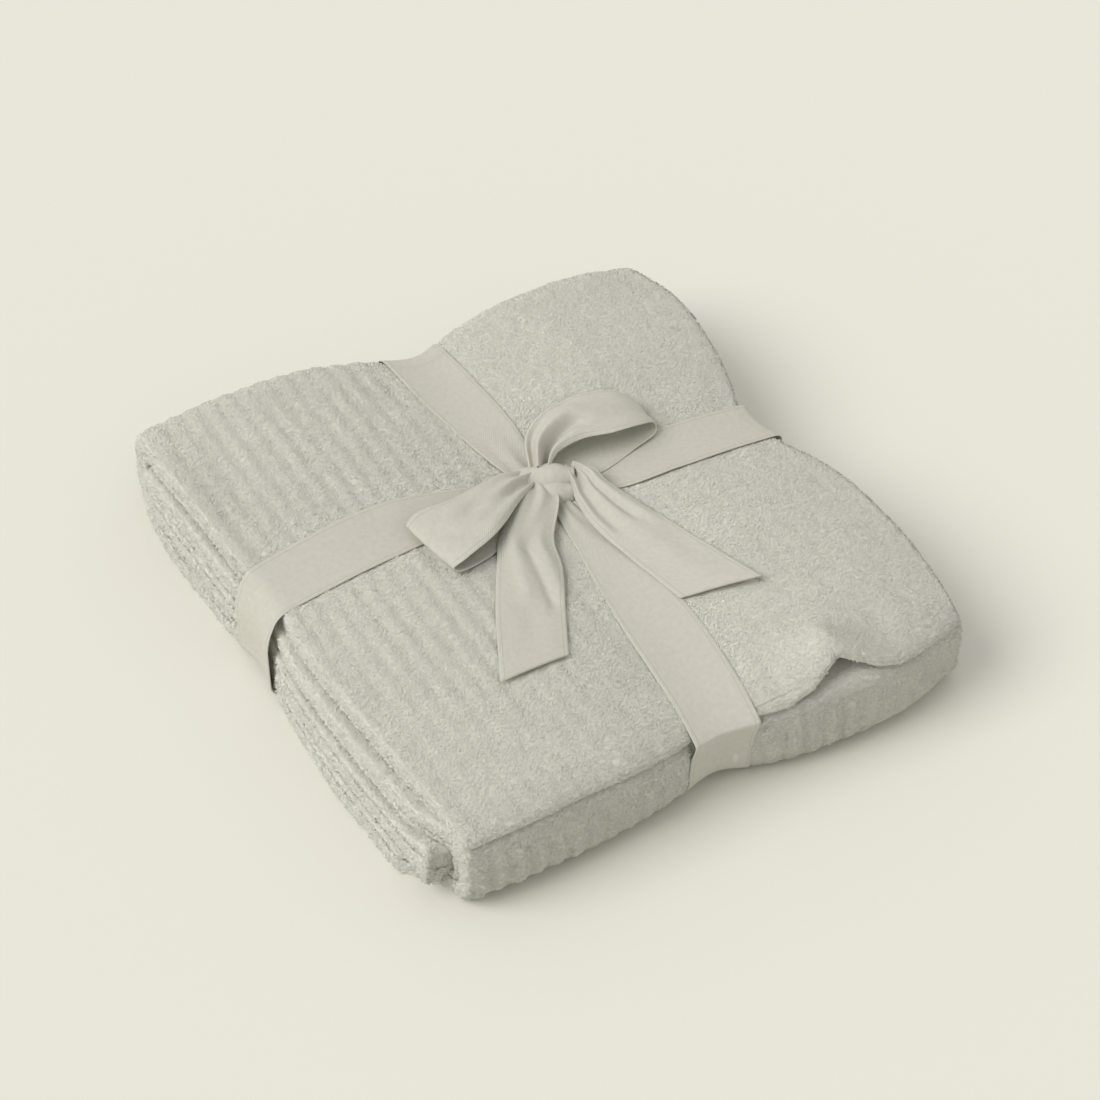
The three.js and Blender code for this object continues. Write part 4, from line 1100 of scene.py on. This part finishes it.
def knit_material():
    """Off-white plush knit: mottled ivory with a fine grain in its relief."""
    existing = bpy.data.materials.get("ivory_knit_plush")
    if existing:
        return existing
    cloth = bpy.context.scene.throw_cloth
    material, nodes, links, shader = new_material("ivory_knit_plush")
    place = nodes.new("ShaderNodeTexCoord").outputs["Object"]
    patches = add_noise(nodes, links, place, KNIT_PATCHES)
    tone = add_tones(nodes, links, patches, cloth, KNIT_PATCHES.dark_until, KNIT_PATCHES.light_from)
    links.new(tone, shader.inputs["Base Color"])
    grain = add_noise(nodes, links, place, KNIT_GRAIN)
    add_relief(nodes, links, grain, KNIT_RELIEF, shader)
    shader.inputs["Roughness"].default_value = KNIT_ROUGHNESS
    let_light_through(shader)
    return material


def pile_material():
    """Plush tufts: darker at the foot by painted shade and lighter at the tip, each tuft with its own
    tone.
    """
    existing = bpy.data.materials.get("ivory_knit_tufts")
    if existing:
        return existing
    cloth = bpy.context.scene.throw_cloth
    material, nodes, links, shader = new_material("ivory_knit_tufts")
    split = nodes.new("ShaderNodeSeparateXYZ")
    links.new(flat_map(nodes), split.inputs["Vector"])
    tone = add_tones(nodes, links, split.outputs["X"], cloth)
    # painted shade: each tuft's foot is darkened in colour, where shade falls between the tufts
    root = add_shade(nodes, links, split.outputs["Y"], TUFT_FOOT_PAINTED_SHADE, 1, TUFT_PAINTED_SHADE_ENDS_AT)
    colour_surface(nodes, links, tone, root, shader)
    shader.inputs["Roughness"].default_value = KNIT_ROUGHNESS
    let_light_through(shader)
    return material


def tape_material():
    """Cream cotton twill: fine diagonal ribs, slubs of two tones, and a darker line beside each
    edge."""
    existing = bpy.data.materials.get("cream_twill_weave")
    if existing:
        return existing
    tape = bpy.context.scene.throw_tape
    material, nodes, links, shader = new_material("cream_twill_weave")
    place = flat_map(nodes)
    turn = nodes.new("ShaderNodeMapping")
    turn.inputs["Rotation"].default_value = (0, 0, TWILL_ANGLE)
    links.new(place, turn.inputs["Vector"])
    twill = nodes.new("ShaderNodeTexWave")
    twill.inputs["Scale"].default_value = tape.weave_scale
    twill.inputs["Distortion"].default_value = TWILL_DISTORTION
    twill.inputs["Detail"].default_value = TWILL_DETAIL
    links.new(turn.outputs["Vector"], twill.inputs["Vector"])
    slub = add_noise(nodes, links, place, TAPE_SLUB)
    tone = add_tones(nodes, links, slub, tape, TAPE_SLUB.dark_until, TAPE_SLUB.light_from)
    across_tape = nodes.new("ShaderNodeSeparateXYZ")
    links.new(place, across_tape.inputs["Vector"])
    middle, line = TAPE_WIDTH * MM / 2, SELVEDGE_WIDTH * MM / 2
    over = across_tape.outputs["X"]
    from_middle = add_arithmetic(nodes, links, "SUBTRACT", over, middle)
    side = add_arithmetic(nodes, links, "ABSOLUTE", from_middle.outputs["Value"])
    beside = side.outputs["Value"]
    selvedge = add_arithmetic(nodes, links, "COMPARE", beside, SELVEDGE_AT * MM, line)
    shade = add_shade(nodes, links, selvedge.outputs["Value"], 1, SELVEDGE_TONE)
    colour_surface(nodes, links, tone, shade, shader)
    height = add_arithmetic(nodes, links, "MULTIPLY_ADD", twill.outputs["Fac"], TWILL_SHARE)
    links.new(slub, height.inputs[2])
    add_relief(nodes, links, height.outputs["Value"], TAPE_RELIEF, shader)
    shader.inputs["Roughness"].default_value = TAPE_ROUGHNESS
    shader.inputs["Sheen Weight"].default_value = TAPE_SHEEN
    return material


def map_cell(place):
    """The number of the map's cell at places across or along the pile."""
    return np.clip(((place + MAP_REACH) / MAP_CELL).astype(int), 0, MAP_CELLS - 1)


def bow_map():
    """A map of cells that are true where the bow's strips lie over the top."""
    cells = np.zeros((MAP_CELLS, MAP_CELLS), bool)
    for strip in BOW_STRIPS:
        rows = strip_rows(strip.edges, MAP_STEPS)
        share = np.linspace(*MAP_SHARES)[None, :]
        x = rows["ax"][:, None] * (1 - share) + rows["bx"][:, None] * share
        y = rows["ay"][:, None] * (1 - share) + rows["by"][:, None] * share
        cells[map_cell(x), map_cell(y)] = True
    return cells


def under_tape(plain, settled):
    """Whether points of the plain pile lie under a band or a bow strip."""
    x, y, z = plain[:, 0], plain[:, 1], plain[:, 2]
    in_band = np.zeros(len(z), bool)
    for band in BANDS:
        at, side = (x, y) if band.runs_across else (y, x)
        edges = [band_edge(band, name, at, z) for name in (band.first, band.second)]
        past_first = side > np.minimum(*edges) + BAND_MARGIN
        in_band |= past_first & (side < np.maximum(*edges) - BAND_MARGIN)
    cells = bow_map()
    under_bow = cells[map_cell(settled[:, 0] + MIDDLE_X), map_cell(settled[:, 1])]
    return in_band | (under_bow & (z > PILE_HEIGHT - TOP_DEPTH))


def add_tufts(name, points, normals, seed, cloth):
    """A joined mesh of tufts: each is a low open three-sided point that leans a little, with a
    random length, width and tone. Its shading turns from outwards at the foot to the cloth's own
    normal at the tip, so that it looks round."""
    random = np.random.default_rng(seed)
    count = len(points)
    helper = random.normal(size=(count, 3))
    first = unit(np.cross(normals, helper))
    second = np.cross(normals, first)
    lean = unit(normals + cloth.tuft_lean * random.normal(size=(count, 3)))
    length = cloth.tuft_length / MM * random.uniform(*TUFT_LENGTHS, (count, 1))
    length *= 1 + cloth.side_plush * ease(-points[:, :1], SIDE_PLUSH_FROM, SIDE_PLUSH_TO)
    radius = cloth.tuft_width / MM / 2 * random.uniform(*TUFT_WIDTHS, (count, 1))
    corners = []
    shading = []
    for angle in np.radians(TUFT_ANGLES):
        offset = first * math.cos(angle) + second * math.sin(angle)
        corners.append(points + offset * radius - normals * TUFT_FOOT_DEPTH)
        shading.append(normals + offset * cloth.tuft_shading)
    tips = points + lean * length
    vertices = np.stack((*corners, tips), axis=1).reshape(-1, 3)
    vertices[:, 2] = np.maximum(vertices[:, 2], LOWEST_Z)
    rounded = unit(np.stack((*shading, normals), axis=1).reshape(-1, 3))
    base = np.arange(count)[:, None] * len(TUFT_UPWARDS)
    faces = (base[:, :, None] + np.array(TUFT_FACES)[None]).reshape(-1, 3)
    tone = random.uniform(0, 1, (count, 1))
    uvs = np.stack(np.broadcast_arrays(tone, TUFT_UPWARDS), axis=-1)
    piece = add_mesh(name, vertices, faces, uvs)
    piece.data.normals_split_custom_set_from_vertices(rounded)
    piece.data.materials.append(pile_material())
    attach(piece, "root")
    return piece


class ThrowCloth(bpy.types.PropertyGroup):
    """Sizes and colours of the knitted throw."""

    rib_pitch: bpy.props.FloatProperty(
        name="Rib pitch", description="From one rib to the next", default=0.014, unit="LENGTH"
    )
    rib_height: bpy.props.FloatProperty(
        name="Rib height", description="How far a full rib stands up", default=0.0013, unit="LENGTH"
    )
    lump_height: bpy.props.FloatProperty(
        name="Lump height", description="Wide soft unevenness", default=0.0009, unit="LENGTH"
    )
    dimple_height: bpy.props.FloatProperty(
        name="Dimple height", description="Unevenness of a thumb's width", default=0.0005, unit="LENGTH"
    )
    grain_height: bpy.props.FloatProperty(
        name="Grain height", description="Clumping of the plush", default=0.00015, unit="LENGTH"
    )
    cell_along: bpy.props.FloatProperty(
        name="Cell along", description="Mesh spacing along the ribs", default=0.003, unit="LENGTH"
    )
    cell_across: bpy.props.FloatProperty(
        name="Cell across", description="Mesh spacing across the ribs", default=0.0022, unit="LENGTH"
    )
    tuft_length: bpy.props.FloatProperty(
        name="Tuft length", description="Length of the plush tufts", default=0.0013, unit="LENGTH"
    )
    side_plush: bpy.props.FloatProperty(
        name="Side plush", description="Share by which plush is longer at the left side", default=0.25
    )
    tuft_width: bpy.props.FloatProperty(
        name="Tuft width", description="Width of a tuft at its foot", default=0.0023, unit="LENGTH"
    )
    tuft_lean: bpy.props.FloatProperty(
        name="Tuft lean", description="How unevenly the tufts lean", default=0.35
    )
    tuft_shading: bpy.props.FloatProperty(
        name="Tuft shading", description="How round each tuft is shaded", default=0.24
    )
    tuft_count: bpy.props.IntProperty(
        name="Tufts a piece", description="Tufts in each joined piece", default=50000
    )
    light_colour: bpy.props.FloatVectorProperty(
        name="Light colour", description="Lighter tone of the plush", subtype="COLOR",
        default=(0.7, 0.695, 0.625),
    )
    shade_colour: bpy.props.FloatVectorProperty(
        name="Shade colour", description="Darker tone of the plush", subtype="COLOR",
        default=(0.62, 0.615, 0.548),
    )


class ThrowTape(bpy.types.PropertyGroup):
    """Sizes and colours of the tape."""

    thickness: bpy.props.FloatProperty(
        name="Thickness", description="Thickness of the tape", default=0.001, unit="LENGTH"
    )
    weave_scale: bpy.props.FloatProperty(
        name="Weave scale", description="Fineness of the diagonal weave", default=210
    )
    light_colour: bpy.props.FloatVectorProperty(
        name="Light colour", description="Lighter tone of the tape", subtype="COLOR",
        default=(0.58, 0.565, 0.505),
    )
    shade_colour: bpy.props.FloatVectorProperty(
        name="Shade colour", description="Darker tone of the tape", subtype="COLOR",
        default=(0.52, 0.505, 0.44),
    )


class ThrowStage(bpy.types.PropertyGroup):
    """Light and floor."""

    floor_colour: bpy.props.FloatVectorProperty(
        name="Floor colour", description="Colour of the plain floor", subtype="COLOR",
        default=(0.78, 0.77, 0.71),
    )
    key_strength: bpy.props.FloatProperty(
        name="Key light", description="Strength of the large soft light", default=1.72
    )
    key_softness: bpy.props.FloatProperty(
        name="Key softness", description="Angle over which the light spreads",
        default=math.radians(40), subtype="ANGLE",
    )
    sky_strength: bpy.props.FloatProperty(
        name="Sky strength", description="Strength of the even light all round", default=0.66
    )


class THROW_OT_add_blanket(bpy.types.Operator):
    """Adds the folded throw in place of its solid"""

    bl_idname = "throw.add_blanket"
    bl_label = "Folded throw"

    def execute(self, context):
        surface = ThrowSurface(context.scene.throw_cloth)
        rows, columns = surface.points.shape[:2]
        faces = grid_faces(rows, columns, closed_columns=True)
        piece = add_mesh("throw", surface.points, faces, surface.uvs(), end_caps(rows, columns))
        piece.data.materials.append(knit_material())
        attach(piece, "root")
        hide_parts("blanket")
        return {"FINISHED"}


class THROW_OT_add_pile(bpy.types.Operator):
    """Adds the plush tufts that stand on the throw where it shows"""

    bl_idname = "throw.add_pile"
    bl_label = "Plush tufts"

    def execute(self, context):
        cloth = context.scene.throw_cloth
        surface = ThrowSurface(cloth)
        points = surface.points
        rows, columns = points.shape[:2]
        quads = grid_faces(rows, columns, closed_columns=True)
        flat = points.reshape(-1, 3)
        a, b, c, d = (flat[corner] for corner in quads.T)
        area = np.linalg.norm(np.cross(c - a, d - b), axis=1) / 2
        shown = surface.shown.reshape(-1)[quads].all(axis=1)
        plain = surface.plain.reshape(-1, 3)[quads].mean(axis=1)
        settled = flat[quads].mean(axis=1)
        shown &= ~under_tape(plain, settled)
        weight = area * shown
        random = np.random.default_rng(PLACES_SEED)
        total = PLUSH_PIECES * cloth.tuft_count
        evenly = (np.arange(total) + random.uniform(0, 1, total)) / total
        in_turn = np.searchsorted(np.cumsum(weight) / weight.sum(), evenly)
        in_turn = np.minimum(in_turn, len(quads) - 1)
        for number in range(PLUSH_PIECES):
            chosen = in_turn[number::PLUSH_PIECES]
            s, t = random.uniform(0, 1, (2, cloth.tuft_count, 1))
            low = a[chosen] * (1 - s) + b[chosen] * s
            high = d[chosen] * (1 - s) + c[chosen] * s
            places = low * (1 - t) + high * t
            normals = surface.normals.reshape(-1, 3)[quads[chosen, 0]]
            add_tufts(f"plush_{number + 1}", places, normals, TUFTS_SEED + number, cloth)
        return {"FINISHED"}


class THROW_OT_add_bands(bpy.types.Operator):
    """Adds the two bands of tape that cross round the pile"""

    bl_idname = "throw.add_bands"
    bl_label = "Crossing bands"

    def execute(self, context):
        tape = context.scene.throw_tape
        for band in BANDS:
            add_band(band, tape)
        return {"FINISHED"}


class THROW_OT_add_bow(bpy.types.Operator):
    """Adds the bow's loops, tails and knot"""

    bl_idname = "throw.add_bow"
    bl_label = "Bow"

    def execute(self, context):
        tape = context.scene.throw_tape
        for strip in BOW_STRIPS:
            add_strip(strip, tape)
        for turn in KNOT_TURNS:
            add_knot_turn(turn, tape)
        return {"FINISHED"}


class THROW_OT_add_stage(bpy.types.Operator):
    """Adds the floor, the light and the camera at the photo's viewing angle"""

    bl_idname = "throw.add_stage"
    bl_label = "Stage"

    def execute(self, context):
        stage = context.scene.throw_stage
        corners = np.array([[-1, -1, 0], [1, -1, 0], [1, 1, 0], [-1, 1, 0]], float) * FLOOR_REACH
        floor = add_mesh("floor", corners, np.array([[0, 1, 2, 3]]))
        material, nodes, links, shader = new_material("plain_floor")
        shader.inputs["Base Color"].default_value = (*stage.floor_colour, 1)
        shader.inputs["Roughness"].default_value = 1
        shader.inputs["Specular IOR Level"].default_value = 0
        floor.data.materials.append(material)
        world = bpy.data.worlds.new("even_light")
        world.use_nodes = True
        sky = world.node_tree.nodes["Background"]
        sky.inputs["Color"].default_value = (*LIGHT_COLOUR, 1)
        sky.inputs["Strength"].default_value = stage.sky_strength
        context.scene.world = world
        self.add_light(context, "key_light", KEY_PLACE, stage)
        self.add_camera(context)
        context.scene.view_settings.view_transform = "Standard"
        return {"FINISHED"}

    def add_light(self, context, name, place, stage):
        """Adds a large soft light that shines from a place to the middle."""
        light = bpy.data.lights.new(name, "SUN")
        light.angle = stage.key_softness
        light.energy = stage.key_strength
        light.color = LIGHT_COLOUR
        lamp = bpy.data.objects.new(name, light)
        lamp.location = place
        lamp.rotation_euler = look_rotation(place, (0, 0, 0))
        context.scene.collection.objects.link(lamp)

    def add_camera(self, context):
        """Adds the camera at the photo's viewpoint."""
        level = math.cos(CAMERA_ELEVATION)
        back = (math.sin(CAMERA_AZIMUTH) * level, -math.cos(CAMERA_AZIMUTH) * level)
        back = np.array([*back, math.sin(CAMERA_ELEVATION)])
        right = np.array([math.cos(CAMERA_AZIMUTH), math.sin(CAMERA_AZIMUTH), 0])
        up = np.cross(back, right)
        pixel = CAMERA_DISTANCE / CAMERA_FOCAL_PIXELS
        aside, above = CAMERA_OFFSET
        place = back * CAMERA_DISTANCE - right * aside * pixel + up * above * pixel
        place = (place + CAMERA_ORIGIN) * MM
        data = bpy.data.cameras.new("photo_view")
        data.lens = CAMERA_LENS
        data.clip_end = FARTHEST_SEEN
        camera = bpy.data.objects.new("photo_view", data)
        camera.location = place
        camera.rotation_euler = look_rotation(place, place - back)
        context.scene.collection.objects.link(camera)
        context.scene.camera = camera


def look_rotation(place, target):
    """The turn of a light or camera at a place that looks at a target with its top upwards."""
    way = np.asarray(target, float) - np.asarray(place, float)
    way /= np.linalg.norm(way)
    return (math.acos(-way[2]), 0, math.atan2(-way[0], way[1]))


class THROW_PT_panel(bpy.types.Panel):
    """Lists the throw's pieces and their sizes"""

    bl_label = "Throw"
    bl_idname = "THROW_PT_panel"
    bl_space_type = "VIEW_3D"
    bl_region_type = "UI"
    bl_category = "Throw"

    def draw(self, context):
        layout = self.layout
        for group in (context.scene.throw_cloth, context.scene.throw_tape, context.scene.throw_stage):
            box = layout.box()
            for name in group.bl_rna.properties.keys():
                if name not in ("rna_type", "name"):
                    box.prop(group, name)
        for operator in OPERATORS:
            layout.operator(operator.bl_idname)


GROUPS = {"throw_cloth": ThrowCloth, "throw_tape": ThrowTape, "throw_stage": ThrowStage}
OPERATORS = [
    THROW_OT_add_stage,
    THROW_OT_add_blanket,
    THROW_OT_add_pile,
    THROW_OT_add_bands,
    THROW_OT_add_bow,
]


def register():
    """Registers the sizes, the operators and the panel."""
    for name, group in GROUPS.items():
        bpy.utils.register_class(group)
        setattr(bpy.types.Scene, name, bpy.props.PointerProperty(type=group))
    for operator in OPERATORS:
        bpy.utils.register_class(operator)
    bpy.utils.register_class(THROW_PT_panel)


def unregister():
    """Takes them away again."""
    bpy.utils.unregister_class(THROW_PT_panel)
    for operator in reversed(OPERATORS):
        bpy.utils.unregister_class(operator)
    for name, group in GROUPS.items():
        delattr(bpy.types.Scene, name)
        bpy.utils.unregister_class(group)


def main():
    """Builds the whole scene."""
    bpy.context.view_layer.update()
    register()
    bpy.ops.throw.add_stage()
    bpy.ops.throw.add_blanket()
    bpy.ops.throw.add_pile()
    bpy.ops.throw.add_bands()
    bpy.ops.throw.add_bow()


if __name__ == "__main__":
    main()
